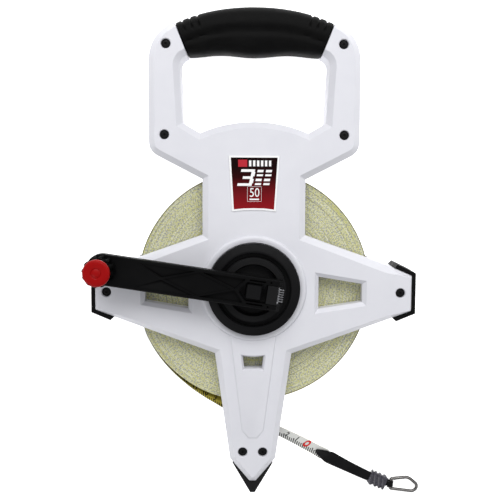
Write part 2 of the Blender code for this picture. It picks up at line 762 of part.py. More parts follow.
def make_ground_spike():
    """Pointed shoe wrapped round the tip of the leg."""
    tip_y = -175.4
    slope = Vector((LEG_CORNER[0] - LEG_TIP[0], LEG_CORNER[1] - LEG_TIP[1])).normalized()
    normal = Vector((slope.y, -slope.x))
    high = Vector(LEG_TIP) + slope * 21.0 + normal * GAP
    low = Vector(LEG_TIP) + normal * GAP
    low_y = LEG_TIP[1] - GAP
    inner = [(high.x, high.y), (low.x, low.y + 0.1), (LEG_TIP[0] * 0.7, low_y)]
    outer = [(1.9, tip_y), (2.9, tip_y + 1.7), (17.0, -149.6)]
    half = inner + [(-x, y) for x, y in reversed(inner)]
    half += [(-x, y) for x, y in reversed(outer)] + outer
    add_piece("ground_spike", prism(half, 5.0, FRAME_DEPTH - 5.0), BLACK)


def grip_section(s, front):
    """Half of the grip's rounded section at s, from -1 at one end to 1 at the other."""
    top = GRIP_TOP_Y - (GRIP_TOP_Y - HANDLE_TOP[1]) * s * s
    bottom = GRIP_BOTTOM[1] + GRIP_WAVE * math.sin(math.pi * s) ** 2
    middle = (top + bottom) / 2.0
    reach = (top - bottom) / 2.0
    depth = FRAME_DEPTH / 2.0 - GRIP_SIDE
    centre_z = FRAME_DEPTH / 2.0
    side = 1.0 if front else -1.0
    slope = (HANDLE_TOP[0] - GRIP_BOTTOM[0]) / (HANDLE_TOP[1] - GRIP_BOTTOM[1])
    power = 2.0 / 2.8
    points = []
    for index in range(11):
        angle = math.pi * index / 10
        cosine = math.cos(angle)
        y = middle + reach * math.copysign(abs(cosine) ** power, cosine)
        rise = max(depth * math.sin(angle) ** power, GAP / 2.0)
        x = s * (GRIP_BOTTOM[0] - GAP + slope * (y - GRIP_BOTTOM[1]))
        points.append((x, y, centre_z + side * rise))
    return points


def make_grip(name, front):
    stations = 14
    loops = [grip_section(-1.0 + 2.0 * index / stations, front) for index in range(stations + 1)]
    grip = add_piece(name, loft(loops), RUBBER, smooth=True)
    middle = FRAME_DEPTH / 2.0
    inner = FRAME_DEPTH / 2.0 - BAR_SKIN + GAP
    low, high = (middle - 2.0, middle + inner) if front else (middle - inner, middle + 2.0)
    cut(grip, add_guide(f"{name}_bore", prism(bar_outline(GAP, 72.0), low, high)))
    return grip


# ---------------------------------------------------------------- spool and gears

def involute(angle):
    return math.tan(angle) - angle


def gear_outline(teeth, low_r, high_r, half_width, phase):
    """Involute teeth between two radii. half_width is half a tooth on the pitch circle; an
    inner outline uses it for the tooth spaces instead."""
    pitch_r = MODULE * teeth / 2.0
    base_r = pitch_r * math.cos(PRESSURE_ANGLE)
    at_pitch = half_width / pitch_r + involute(PRESSURE_ANGLE)
    radii = [low_r] + ([base_r] if base_r > low_r + 0.2 else [])
    radii += [high_r]
    flank = []
    for radius in radii:
        pressure = math.acos(min(1.0, base_r / radius))
        flank.append((radius, at_pitch - involute(pressure)))
    points = []
    for tooth in range(teeth):
        middle = phase + math.tau * tooth / teeth
        for radius, width in flank:
            points.append((radius * math.cos(middle - width), radius * math.sin(middle - width)))
        for radius, width in reversed(flank):
            points.append((radius * math.cos(middle + width), radius * math.sin(middle + width)))
    return points


def tooth_half():
    return (math.pi * MODULE / 2.0 - BACKLASH) / 2.0


def make_gears(spool_axis, crank_axis):
    low, high = GEAR_Z
    pitch = MODULE / 2.0
    sun = gear_outline(SUN_TEETH, pitch * SUN_TEETH - 1.25 * MODULE,
                       pitch * SUN_TEETH + 0.8 * MODULE, tooth_half(), 0.0)
    add_piece("sun_gear", plate(sun, [circle(NECK_R + GAP, 20)], low - 0.4, high + 0.2), ACETAL,
              spool_axis)
    space = (math.pi * MODULE / 2.0 + BACKLASH) / 2.0
    inner = gear_outline(RING_TEETH, pitch * RING_TEETH - 0.55 * MODULE,
                         pitch * RING_TEETH + 1.15 * MODULE, space, math.pi / RING_TEETH)
    add_piece("ring_gear", plate(circle(RING_R, 48), [inner], low - 0.3, high + 0.4), ACETAL)
    for index in range(PLANET_COUNT):
        # Angles are measured in the world, then turned back into the crank's own frame.
        world = math.pi / 2.0 + math.tau * index / PLANET_COUNT
        local = world - CRANK_ANGLE
        centre = (CARRIER_R * math.cos(local), CARRIER_R * math.sin(local), 0.0)
        phase = local + math.pi / PLANET_TEETH
        teeth = gear_outline(PLANET_TEETH, pitch * PLANET_TEETH - 1.2 * MODULE,
                             pitch * PLANET_TEETH + 0.8 * MODULE, tooth_half(), phase)
        teeth = [(centre[0] + x, centre[1] + y) for x, y in teeth]
        bore = circle(PLANET_BORE_R, 12, centre)
        add_piece(f"planet_gear_{index + 1}", plate(teeth, [bore], low, high), ACETAL,
                  crank_axis, centre)
        foot, head, top = PLANET_PIN_Z
        pin = lathe([(0.0, foot), (PLANET_PIN_HEAD_R, foot), (PLANET_PIN_HEAD_R, head),
                     (PLANET_PIN_R, head), (PLANET_PIN_R, top), (0.0, top)], 12, centre)
        add_piece(f"planet_pin_{index + 1}", pin, STEEL, crank_axis, smooth=True)


def make_spool(spool_axis):
    low, high = SPOOL_Z
    bore = BUSH_R[1] + GAP
    profile = [(bore, WEB_Z[0]), (DRUM_R[1], WEB_Z[0]), (DRUM_R[1], high), (DRUM_R[0], high),
               (DRUM_R[0], WEB_Z[1]), (NECK_R, WEB_Z[1]), (NECK_R, high), (bore, high)]
    add_piece("spool_drum", lathe(profile, 36), BLACK, spool_axis, smooth=True)
    bush = lathe([(BUSH_R[0], low), (BUSH_R[1], low), (BUSH_R[1], high), (BUSH_R[0], high)], 16)
    add_piece("spool_bush", bush, ACETAL, spool_axis, smooth=True)
    coil = lathe([(DRUM_R[1] + GAP, low), (COIL_R, low), (COIL_R, high), (DRUM_R[1] + GAP, high)],
                 72)
    add_piece("tape_coil", coil, TAPE_EDGE, spool_axis, smooth=True)


def make_axle():
    low, high = AXLE_Z
    groove = (CLIP_Z[0] - 0.25, CLIP_Z[1] + 0.25)
    profile = [(0.0, low), (AXLE_R, low), (AXLE_R, groove[0]), (AXLE_R - 1.0, groove[0]),
               (AXLE_R - 1.0, groove[1]), (AXLE_R, groove[1]), (AXLE_R, high), (0.0, high)]
    add_piece("axle", lathe(profile, 16), STEEL, smooth=True)
    inner = AXLE_R + GAP
    under, over = WASHER_Z
    washer = lathe([(inner, under), (WASHER_R, under), (WASHER_R, over), (inner, over)], 16)
    add_piece("thrust_washer", washer, STEEL, smooth=True)
    start, stop = CLIP_OPENING, math.tau - CLIP_OPENING
    outer = circle(CLIP_R, 14, start=start, stop=stop, closed=False)
    inner = circle(AXLE_R - 1.0 + GAP, 14, start=start, stop=stop, closed=False)
    add_piece("axle_clip", prism(outer + list(reversed(inner)), CLIP_Z[0], CLIP_Z[1]), STEEL)


# ---------------------------------------------------------------- hub and crank

def make_bezel():
    low = FRAME_DEPTH + GAP
    inner, outer = BEZEL_R
    profile = [(inner, low), (outer, low), (outer, low + 5.0), (outer - 0.6, low + 6.6),
               (outer - 2.2, BEZEL_TOP_Z - 1.6), (outer - 4.2, BEZEL_TOP_Z - 0.2),
               (inner + 1.4, BEZEL_TOP_Z), (inner, BEZEL_TOP_Z - 1.0)]
    add_piece("hub_bezel", lathe(profile, 44), BLACK, smooth=True)


def hinge_line(reach, radius):
    """Round bar on the crank's folding axis."""
    ends = [(HINGE_X, -reach, CRANK_MID_Z), (HINGE_X, reach, CRANK_MID_Z)]
    return tube(ends, radius, 16)


def hinge_bore():
    return hinge_line(30.0, HINGE_PIN_R + GAP)


def end_wedge():
    """Space above the sloping end of the crank and of its hinge block."""
    far, high = FORK_END_X - 4.0, CRANK_Z[1]
    section = [(END_TOP_X, high), (FORK_END_X, END_SLOPE_Z), (far, END_SLOPE_Z), (far, high + 6.0),
               (END_TOP_X, high + 6.0)]
    return loft([[(x, y, z) for x, z in section] for y in (-30.0, 30.0)])


def make_crank_disc(crank_axis):
    """Crank disc, which is also the planet carrier and holds the hinge block."""
    flange_low, flange_high = DISC_FLANGE_Z
    profile = [(0.0, DISC_FLOOR_Z), (0.0, AXLE_POCKET_Z), (AXLE_R + GAP, AXLE_POCKET_Z),
               (AXLE_R + GAP, CLIP_POCKET_Z), (CLIP_POCKET_R, CLIP_POCKET_Z),
               (CLIP_POCKET_R, DISC_BOTTOM_Z), (CARRIER_RIM_R, DISC_BOTTOM_Z),
               (CARRIER_RIM_R, flange_low), (DISC_FLANGE_R, flange_low),
               (DISC_FLANGE_R, flange_high), (DISC_GROOVE_R, flange_high),
               (DISC_GROOVE_R, DISC_FLOOR_Z), (DISC_RING_R[1], DISC_FLOOR_Z),
               (DISC_RING_R[1], DISC_TOP_Z - 1.0), (DISC_RING_R[1] - 1.0, DISC_TOP_Z),
               (DISC_RING_R[0], DISC_TOP_Z), (DISC_FLOOR_R, DISC_FLOOR_Z)]
    disc = add_piece("crank_disc", lathe(profile, 36), BLACK, crank_axis, smooth=True)
    block = box((BLOCK_X[0], -BLOCK_HALF, DISC_FLOOR_Z - 1.0),
                (BLOCK_X[1], BLOCK_HALF, BLOCK_TOP_Z))
    unite(disc, add_guide("disc_block", block, crank_axis))
    floor, roof = NOTCH_Z
    side, outside = NOTCH_HALF, BLOCK_X[0] - 4.0
    notch = box((outside, -side, floor), (NOTCH_END_X, side, roof))
    cut(disc, add_guide("disc_notch", notch, crank_axis))
    mouth = box((outside, -side, roof - 1.0), (END_TOP_X, side, roof + 4.0))
    cut(disc, add_guide("disc_notch_mouth", mouth, crank_axis))
    cut(disc, add_guide("disc_end_slope", end_wedge(), crank_axis))
    cut(disc, add_guide("disc_hinge_bore", hinge_bore(), crank_axis))
    size = BUTTON_HALF + GAP + 0.1
    pocket = box((-size, -size, BUTTON_POCKET_Z), (size, size, 60.0))
    cut(disc, add_guide("disc_pocket", pocket, crank_axis))
    for index in range(PLANET_COUNT):
        angle = math.pi / 2.0 + math.tau * index / PLANET_COUNT - CRANK_ANGLE
        centre = (CARRIER_R * math.cos(angle), CARRIER_R * math.sin(angle))
        cut(disc, add_guide(f"disc_pin_bore_{index}",
                            prism(circle(PLANET_BORE_R, 12, centre), 20.0,
                                  PLANET_PIN_Z[2] + GAP), crank_axis))
    return disc


def make_hinge(crank_axis):
    pin = hinge_line(HINGE_PIN_HALF, HINGE_PIN_R)
    add_piece("hinge_pin", pin, STEEL, crank_axis, smooth=True)
    wire = []
    centre_x, centre_z = HINGE_SPRING_PLACE
    for x, y, z in helix(HINGE_SPRING_R, -HINGE_SPRING_HALF, HINGE_SPRING_HALF, 5.0, 10):
        wire.append((centre_x + x, z, centre_z + y))
    add_piece("hinge_spring", tube(wire, 0.6, 5), STEEL, crank_axis, smooth=True)


def arm_pockets():
    """Facets sunk between the crank's diagonal ribs: each is an outline and its depths."""
    start, cross, middle, meet = ARM_CROSSINGS
    edge = RAIL_INNER
    pockets = []
    for side in (-1.0, 1.0):
        slope = [(start, side * edge), (cross, 0.0), (middle, side * edge)]
        pockets.append((offset(slope, 0.8), (0.3, 2.4, 1.0)))
        corner = [(middle, side * edge), (meet, 0.0), (meet - 2.0, side * 1.8),
                  (7.6, side * 8.9), (7.6, side * edge)]
        pockets.append((offset(corner, 0.5), (2.6,) * 5))
        slot = [(4.6, side * 8.9), (4.6, side * edge), (-8.5, side * edge), (-8.5, side * 8.9)]
        pockets.append((slot, (4.0,) * 4))
        hole = circle(0.9, 8, (-12.8, side * 9.9))
        pockets.append((hole, (2.0,) * 8))
    diamond = [(cross, 0.0), (middle, edge), (meet, 0.0), (middle, -edge)]
    pockets.append((offset(diamond, 0.8), (0.9,) * 4))
    return pockets


def make_crank_arm(crank_axis):
    low, high = CRANK_Z
    pivot = (HINGE_X, 0.0, CRANK_MID_Z)
    tip = circle(CRANK_HALF, 15, (CRANK_REACH, 0.0), -math.pi / 2.0, math.pi / 2.0, closed=False)
    outline = [(FORK_END_X, -CRANK_HALF)] + tip + [(FORK_END_X, CRANK_HALF)]
    edge = 0.9
    arm = add_piece("crank_arm", loft([
        at(offset(outline, edge), low), at(outline, low + edge), at(outline, high - edge),
        at(offset(outline, edge), high)]), BLACK, crank_axis, pivot)
    fork = [(FORK_END_X - 4.0, -FORK_HALF), (6.0, -FORK_HALF), (11.8, -1.5), (11.8, 1.5),
            (6.0, FORK_HALF), (FORK_END_X - 4.0, FORK_HALF)]
    cut(arm, add_guide("arm_fork", prism(fork, low - 2.0, high + 2.0), crank_axis))
    under = [(18.0, -9.6), (104.0, -9.6), (104.0, 9.6), (18.0, 9.6)]
    cut(arm, add_guide("arm_hollow", prism(under, low - 2.0, high - 4.2), crank_axis))
    for index, (outline, depths) in enumerate(arm_pockets()):
        floor = [(x, y, high - depth) for (x, y), depth in zip(outline, depths)]
        facet = loft([floor, at(outline, high + 2.0)])
        cut(arm, add_guide(f"arm_facet_{index}", facet, crank_axis))
    cut(arm, add_guide("arm_hinge_bore", hinge_bore(), crank_axis))
    cut(arm, add_guide("arm_end_slope", end_wedge(), crank_axis))
    head_r, pin_r = KNOB_PIN_HEAD_R + 0.4, KNOB_PIN_R + GAP
    knob_bore = lathe([(0.0, low - 1.0), (head_r, low - 1.0), (head_r, low + 2.2),
                       (pin_r, low + 2.2), (pin_r, high + 1.0), (0.0, high + 1.0)],
                      20, (CRANK_REACH, 0.0))
    cut(arm, add_guide("arm_knob_bore", knob_bore, crank_axis))
    return arm


def make_lock_button(crank_axis):
    low, high = BUTTON_Z
    corners = [(BUTTON_HALF, BUTTON_HALF, 1.0), (-BUTTON_HALF, BUTTON_HALF, 1.0),
               (-BUTTON_HALF, -BUTTON_HALF, 1.0), (BUTTON_HALF, -BUTTON_HALF, 1.0)]
    outline = rounded(corners, steps=3)
    button = add_piece("lock_button", loft([
        at(outline, low), at(outline, high - 0.8), at(offset(outline, 0.7), high)]), BLACK,
        crank_axis)
    bore_r, bore_top = BUTTON_BORE
    bore = prism(circle(bore_r, 20), low - 1.0, bore_top)
    cut(button, add_guide("button_bore", bore, crank_axis))
    spring_low, spring_high = BUTTON_SPRING_Z
    spring = tube(helix(3.2, spring_low, spring_high, 5.5, 9), 0.45, 5)
    add_piece("button_spring", spring, STEEL, crank_axis, smooth=True)


def make_knob(crank_axis):
    centre = (CRANK_REACH, 0.0)
    pivot = (CRANK_REACH, 0.0, 0.0)
    low, high = CRANK_Z[0] + GAP, KNOB_PIN_TOP_Z
    head = KNOB_PIN_HEAD_R
    pin = lathe([(0.0, low), (head, low), (head, low + 1.5), (KNOB_PIN_R, low + 1.5),
                 (KNOB_PIN_R, high - 2.0), (head, high - 2.0), (head, high), (0.0, high)],
                20, centre)
    add_piece("knob_pin", pin, STEEL, crank_axis, smooth=True)
    ribs = []
    for index in range(KNOB_RIBS * 4):
        angle = math.tau * index / (KNOB_RIBS * 4)
        radius = KNOB_RIB_R if index % 4 < 2 else KNOB_R - 0.3
        ribs.append((centre[0] + radius * math.cos(angle), radius * math.sin(angle)))
    body = add_piece("knob_body", prism(ribs, KNOB_Z[0], KNOB_Z[1]), RUBBER, crank_axis, pivot)
    bore_r, step_r = KNOB_PIN_R + 0.4, head + 0.5
    bore = lathe([(0.0, 60.0), (bore_r, 60.0), (bore_r, KNOB_STEP_Z), (step_r, KNOB_STEP_Z),
                  (step_r, 110.0), (0.0, 110.0)], 20, centre)
    cut(body, add_guide("knob_bore", bore, crank_axis))
    cap_low, cap_high = CAP_Z
    plug = CAP_PLUG_R
    cap = lathe([(0.0, CAP_PLUG_Z), (plug, CAP_PLUG_Z), (plug, cap_low), (KNOB_R, cap_low),
                 (KNOB_R, cap_high - 1.2), (KNOB_R - 1.1, cap_high - 0.2), (6.0, cap_high),
                 (3.6, cap_high), (3.4, cap_high - 0.5), (0.0, cap_high - 0.5)], 24, centre)
    add_piece("knob_cap", cap, RED, crank_axis, pivot, smooth=True)


# ---------------------------------------------------------------- free end of the tape

def make_tape_end():
    widths = [TAPE_WIDTH] * len(LEAD_ROUTE)
    add_piece("tape_lead", ribbon(LEAD_ROUTE, LEAD_TWIST, widths, TAPE_THICKNESS), TAPE_FACE,
              smooth=True)
    add_piece("end_strap", ribbon(STRAP_ROUTE, STRAP_TWIST, STRAP_WIDTH, STRAP_THICKNESS),
              RUBBER, smooth=True)


def make_end_clamp():
    """Ridged collar that closes the strap over the ring's loop."""
    start = Vector(CLAMP_ENDS[0])
    end = Vector(CLAMP_ENDS[1])
    along = (end - start).normalized()
    across = Vector((-along.y, along.x))
    length = (end - start).length
    low, high = CLAMP_Z
    loops = []
    steps = CLAMP_RIDGES * 4
    for index in range(steps + 1):
        ridge = 0.0 if index % 4 in (0, 3) else 1.0
        centre = start + along * length * index / steps
        half = CLAMP_HALF - 1.0 + ridge
        top = high - 0.8 + 0.8 * ridge
        loop = []
        for side, z in ((-1.0, low), (1.0, low), (1.0, top - 1.2), (0.8, top), (-0.8, top),
                        (-1.0, top - 1.2)):
            place = centre + across * half * side
            loop.append((place.x, place.y, z))
        loops.append(loop)
    add_piece("end_clamp", loft(loops), CLEAR_GREY)


def ring_outline():
    """Middle of the ring's wire: straight at the strap, round at the free end."""
    reach = RING_LENGTH / 2.0 - RING_WIRE_R
    narrow = RING_WIDTHS[0] / 2.0 - RING_WIRE_R
    wide = RING_WIDTHS[1] / 2.0 - RING_WIRE_R
    return rounded([(-reach, -narrow, 1.5), (reach, -wide, wide - 0.2), (reach, wide, wide - 0.2),
                    (-reach, narrow, 1.5)], steps=6)


def place_on_ring(x, y):
    turned = Matrix.Rotation(RING_ANGLE, 2) @ Vector((x, y))
    return (RING_CENTRE[0] + turned.x, RING_CENTRE[1] + turned.y)


def make_hook_ring():
    wire = []
    for along, across in ring_outline():
        x, y = place_on_ring(along, across)
        share = 0.5 + along / RING_LENGTH
        wire.append((x, y, RING_Z[0] + (RING_Z[1] - RING_Z[0]) * share))
    hinge = place_on_ring(RING_WIRE_R - RING_LENGTH / 2.0, 0.0)
    add_piece("hook_ring", tube(wire, RING_WIRE_R, 7, closed=True), STEEL,
              pivot=(hinge[0], hinge[1], RING_Z[0]), smooth=True)
    make_strap_loop(Vector(hinge))


def make_strap_loop(hinge):
    """Short loop of strap from the clamp, round the ring's end bar and back."""
    along = Vector((math.cos(RING_ANGLE), math.sin(RING_ANGLE)))
    across = Vector((-along.y, along.x))
    reach = LOOP_REACH
    start = hinge - along * reach
    radius = RING_WIRE_R + GAP + 0.45
    lift = RING_Z[0]
    middle = []
    for index in range(9):
        angle = math.pi / 2.0 - math.pi * index / 8
        middle.append((reach + radius * math.cos(angle), lift + radius * math.sin(angle)))
    middle = [(0.0, lift + radius + 0.3)] + middle + [(0.0, lift - radius + 0.3)]
    loops = []
    for index, (distance, z) in enumerate(middle):
        before = Vector(middle[max(index - 1, 0)])
        after = Vector(middle[min(index + 1, len(middle) - 1)])
        slope = (after - before).normalized()
        normal = Vector((-slope.y, slope.x)) * 0.4
        loop = []
        for side, push in ((-1.0, -1.0), (1.0, -1.0), (1.0, 1.0), (-1.0, 1.0)):
            place = start + along * (distance + normal.x * push) + across * LOOP_HALF * side
            loop.append((place.x, place.y, z + normal.y * push))
        loops.append(loop)
    add_piece("strap_loop", loft(loops), RUBBER)


def main():
    clear_scene()
    spool_axis = add_empty("spool_axis")
    crank_axis = add_empty("crank_axis", turn=CRANK_ANGLE)
    make_front_frame()
    make_rear_frame()
    make_frame_screws()
    make_label()
    make_bumper("bumper_left", -1.0)
    make_bumper("bumper_right", 1.0)
    make_ground_spike()
    make_grip("grip_front", True)
    make_grip("grip_rear", False)
    make_axle()
    make_spool(spool_axis)
    make_gears(spool_axis, crank_axis)
    make_bezel()
    make_crank_disc(crank_axis)
    make_hinge(crank_axis)
    make_crank_arm(crank_axis)
    make_lock_button(crank_axis)
    make_knob(crank_axis)
    make_tape_end()
    make_end_clamp()
    make_hook_ring()


main()
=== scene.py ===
"""Looks for the surveyor's tape reel: materials, soft and printed pieces, light and camera.

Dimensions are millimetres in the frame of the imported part: the origin is on the spool axis at
the reel's flat back, +Z points to the crank and +Y to the carrying grip.
"""
import math
import random

import bmesh
import bpy
from mathutils import Euler, Matrix, Vector


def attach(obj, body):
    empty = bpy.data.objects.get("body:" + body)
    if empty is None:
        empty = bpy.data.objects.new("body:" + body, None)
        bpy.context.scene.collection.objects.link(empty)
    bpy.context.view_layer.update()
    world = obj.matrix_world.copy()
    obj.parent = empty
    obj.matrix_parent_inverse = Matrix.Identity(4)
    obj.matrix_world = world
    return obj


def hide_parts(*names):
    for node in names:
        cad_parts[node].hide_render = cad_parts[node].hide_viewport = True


MM = 0.001

FRAME_DEPTH = 43.0
MID_Z = FRAME_DEPTH / 2.0

# Crank: its place at rest, the knob at its end and the spring at its hinge
CRANK_ANGLE = math.radians(171.6)
CRANK_REACH = 123.2
HINGE_SPRING_PLACE = (-20.4, 61.4)
HINGE_SPRING_R = 3.7
HINGE_SPRING_HALF = 5.6
KNOB_R = 10.7
KNOB_RIBS = 12
KNOB_Z = (67.45, 90.75)
CAP_Z = (91.12, 95.0)

# Handle grip
GRIP_TOP_Y = 231.0
GRIP_END_TOP = (65.6, 217.4)
GRIP_BOTTOM = (54.8, 190.4)
GRIP_WAVE = 1.9
GRIP_SIDE = 0.8
GRIP_NOTCHES = (0.70, 0.80, 0.905)    # places along half the grip

# Wound tape, and the loose turns that lie round it at the lower left
COIL_R = (43.4, 97.6)
COIL_Z = (15.05, 27.95)
COIL_LAYERS = 56
LAYER_DROP = 0.3                      # rounding of each layer's edges
LOOSE_DEGREES = (196, 264)
LOOSE_GAP = 0.06
LOOSE_THICK = (0.05, 1.45)            # where they start, and along the rest
LOOSE_LINE = (-2.27, 0.58)            # middle and half width, in radians, of the stretch where the coil's outside turn has no painted shade

# Free end of the tape, as it is laid out in the part
TAPE_WIDTH = 13.0
TAPE_THICKNESS = 0.55
LEAD_ROUTE = (
    (-93.9, -28.7, 21.5), (-90.1, -42.0, 21.5), (-81.6, -57.2, 21.5), (-70.6, -70.6, 21.5),
    (-57.5, -82.2, 21.5), (-42.9, -92.0, 21.5), (-25.2, -101.1, 21.5), (-10.0, -110.4, 21.5),
    (6.0, -118.8, 21.5), (23.7, -127.4, 20.6), (39.0, -135.7, 17.8), (55.0, -145.3, 13.8),
    (63.6, -150.8, 11.1))
LEAD_TWIST = (0.0, 1.0, 2.0, 5.0, 10.0, 19.0, 36.0, 14.0, -28.0, -50.0, -55.0, -59.0, -66.0)
TWIST_PLACE = 0.55       # share of the tape's length where it turns its other face up
TICK_PITCH, TICK_WIDTH = 2.0, 1.0
LONG_PITCH, LONG_WIDTH = 10.0, 1.1
LONG_REACH = 1.27        # length of the long ticks, as a multiple of the short ones
TICK_LEAN = -0.4
NUMERAL_SIZE, NUMERAL_WEIGHT, NUMERAL_STRETCH = 5.8, 0.14, 1.5
INK_HEIGHT = 0.06        # print stands clear of the face by this much
ZERO_TO_END = 20.5       # from the red zero ring to the end under the strap
ZERO_RING = (1.3, 2.65)
ZERO_STRETCH, ZERO_ACROSS = 1.95, 1.6

# Strap over its end, clamp and spring ring
STRAP_ROUTE = (
    (55.3, -146.0, 14.9), (68.3, -153.8, 11.3), (86.0, -163.8, 7.3), (106.0, -173.9, 4.3),
    (120.2, -178.5, 3.9))
STRAP_TWIST = (-58.0, -72.0, -76.0, -80.0, -82.0)
STRAP_WIDTH = (13.0, 12.8, 10.2, 8.6, 7.2)
STRAP_HALF = 0.85        # half of its thickness
TONGUE = 14.5            # length of the rounded start
CLAMP_ENDS = ((104.0, -173.0), (118.6, -179.2))
CLAMP_HALF = 6.8
CLAMP_Z = (0.6, 7.2)
CLAMP_RIDGES = 4.0
CLAMP_LEAN = 1.9
RING_WIRE_R = 1.35
RING_CENTRE = (134.4, -180.7)
RING_Z = (2.9, 1.7)
RING_LENGTH = 27.0
RING_CORNERS = ((-10.9, 5.2, 1.5), (-11.7, -3.7, 1.5), (8.8, -6.5, 4.5), (14.7, -2.2, 4.0),
                (4.6, 6.5, 8.0))       # x, y, bend radius of the wire's middle

# Label: outline of the plate, and the plain marks printed on it
LABEL = ((19.4, 108.1), (-19.4, 108.1), (-16.7, 65.2), (-8.5, 66.08), (0.0, 66.3), (8.5, 66.08),
         (16.7, 65.2))
LABEL_TOP_Z = 43.8
LABEL_BARS = ((-5.3, 71.9, 5.9, 72.1), (-5.3, 84.1, 5.9, 84.3), (-5.5, 72.1, -5.3, 84.1),
              (5.9, 72.1, 6.1, 84.1), (-3.7, 73.2, 4.1, 74.4))
LABEL_PATCH = ((-13.0, 100.3), (-5.7, 100.3), (-5.7, 106.1), (-13.2, 106.1))
LABEL_RIM = (0.25, -1.2, -1.35)       # border's inner edge, top edge and foot, inwards of LABEL
LABEL_FOOT_Z = 43.1

# One screw of each pair; the other mirrors it
SCREWS = ((72.0, 199.2), (73.4, 126.2), (121.8, -3.4), (8.4, -139.0))

# Camera: millimetres and degrees
CAMERA_PLACE = (-6.08, 101.79, 783.74)
CAMERA_TURN = (-5.379, -0.207, 0.281)
CAMERA_ANGLE = 30.952


# ---------------------------------------------------------------- materials

class Nodes:
    """Small helper that builds one material's node tree."""

    def __init__(self, name):
        self.material = bpy.data.materials.new(name)
        self.material.use_nodes = True
        self.tree = self.material.node_tree
        self.shader = self.tree.nodes["Principled BSDF"]
        self.coordinates = self.tree.nodes.new("ShaderNodeTexCoord")

    def add(self, kind, **inputs):
        node = self.tree.nodes.new(kind)
        for name, value in inputs.items():
            self.feed(node, name.replace("_", " "), value)
        return node

    def feed(self, node, name, value):
        target = node.inputs[name]
        if isinstance(value, bpy.types.NodeSocket):
            self.tree.links.new(value, target)
        else:
            target.default_value = value

    def set(self, **inputs):
        for name, value in inputs.items():
            self.feed(self.shader, name.replace("_", " "), value)

    def math(self, operation, first, second=0.0, third=0.0):
        node = self.tree.nodes.new("ShaderNodeMath")
        node.operation = operation
        for index, value in enumerate((first, second, third)):
            if isinstance(value, bpy.types.NodeSocket):
                self.tree.links.new(value, node.inputs[index])
            else:
                node.inputs[index].default_value = value
        return node.outputs[0]

    def place(self, stretch=(1.0, 1.0, 1.0)):
        mapping = self.tree.nodes.new("ShaderNodeMapping")
        mapping.inputs["Scale"].default_value = stretch
        self.tree.links.new(self.coordinates.outputs["Object"], mapping.inputs["Vector"])
        return mapping.outputs[0]

    def noise(self, size, detail=3.0, stretch=(1.0, 1.0, 1.0), roughness=0.55):
        """Noise whose features are about size millimetres across."""
        node = self.add("ShaderNodeTexNoise", Vector=self.place(stretch), Scale=1.0 / (size * MM),
                        Detail=detail, Roughness=roughness)
        return node.outputs["Fac"]

    def ramp(self, factor, stops):
        node = self.tree.nodes.new("ShaderNodeValToRGB")
        ramp = node.color_ramp
        while len(ramp.elements) < len(stops):
            ramp.elements.new(0.5)
        for element, (position, colour) in zip(ramp.elements, stops):
            element.position = position
            element.color = tuple(colour) + (1.0,)
        self.tree.links.new(factor, node.inputs["Fac"])
        return node.outputs["Color"]

    def spread(self, factor, low, high, start=0.3, stop=0.7):
        node = self.add("ShaderNodeMapRange", Value=factor, From_Min=start, From_Max=stop,
                        To_Min=low, To_Max=high)
        return node.outputs["Result"]

    def mix(self, factor, first, second):
        node = self.tree.nodes.new("ShaderNodeMix")
        node.data_type = "RGBA"
        self.feed(node, "Factor", factor)
        for index, value in ((6, first), (7, second)):
            if isinstance(value, bpy.types.NodeSocket):
                self.tree.links.new(value, node.inputs[index])
            else:
                node.inputs[index].default_value = tuple(value) + (1.0,)
        return node.outputs[2]

    def bump(self, height, distance, under=None):
        """Bump of the given height in millimetres, on top of another bump."""
        node = self.add("ShaderNodeBump", Height=height, Strength=1.0, Distance=distance * MM)
        if under is not None:
            self.tree.links.new(under, node.inputs["Normal"])
        return node.outputs["Normal"]


def moulded(name, base, worn, rough=(0.35, 0.5), grain=0.35, depth=0.015, coat=0.0, gloss=0.5):
    """Moulded plastic: spark-eroded grain, faint flow marks and handling wear."""
    nodes = Nodes(name)
    blotches = nodes.noise(22.0, detail=4.0)
    scuffs = nodes.noise(3.5, detail=6.0, stretch=(1.0, 0.25, 1.0), roughness=0.7)
    tone = nodes.ramp(blotches, ((0.25, base), (0.8, worn)))
    marks = nodes.spread(scuffs, 0.0, 0.35, start=0.62, stop=0.8)
    nodes.set(Base_Color=nodes.mix(marks, tone, worn),
              Roughness=nodes.spread(nodes.noise(7.0, detail=5.0), rough[0], rough[1]))
    fine = nodes.bump(nodes.noise(grain, detail=2.0), depth)
    nodes.set(Normal=nodes.bump(nodes.noise(14.0), depth * 1.5, under=fine))
    nodes.shader.inputs["Coat Weight"].default_value = coat
    nodes.shader.inputs["Specular IOR Level"].default_value = gloss
    return nodes.material


def steel(name, base, rough=(0.16, 0.34), grain=(1.0, 1.0, 14.0)):
    """Bright metal with drawing lines and small tarnish spots."""
    nodes = Nodes(name)
    lines = nodes.noise(2.0, detail=5.0, stretch=grain)
    spots = nodes.noise(1.4, detail=6.0, roughness=0.75)
    dark = tuple(0.55 * value for value in base)
    tone = nodes.mix(nodes.spread(spots, 0.0, 0.6, start=0.56, stop=0.75), base, dark)
    nodes.set(Base_Color=tone, Roughness=nodes.spread(lines, rough[0], rough[1]),
              Normal=nodes.bump(lines, 0.02))
    nodes.shader.inputs["Metallic"].default_value = 1.0
    return nodes.material


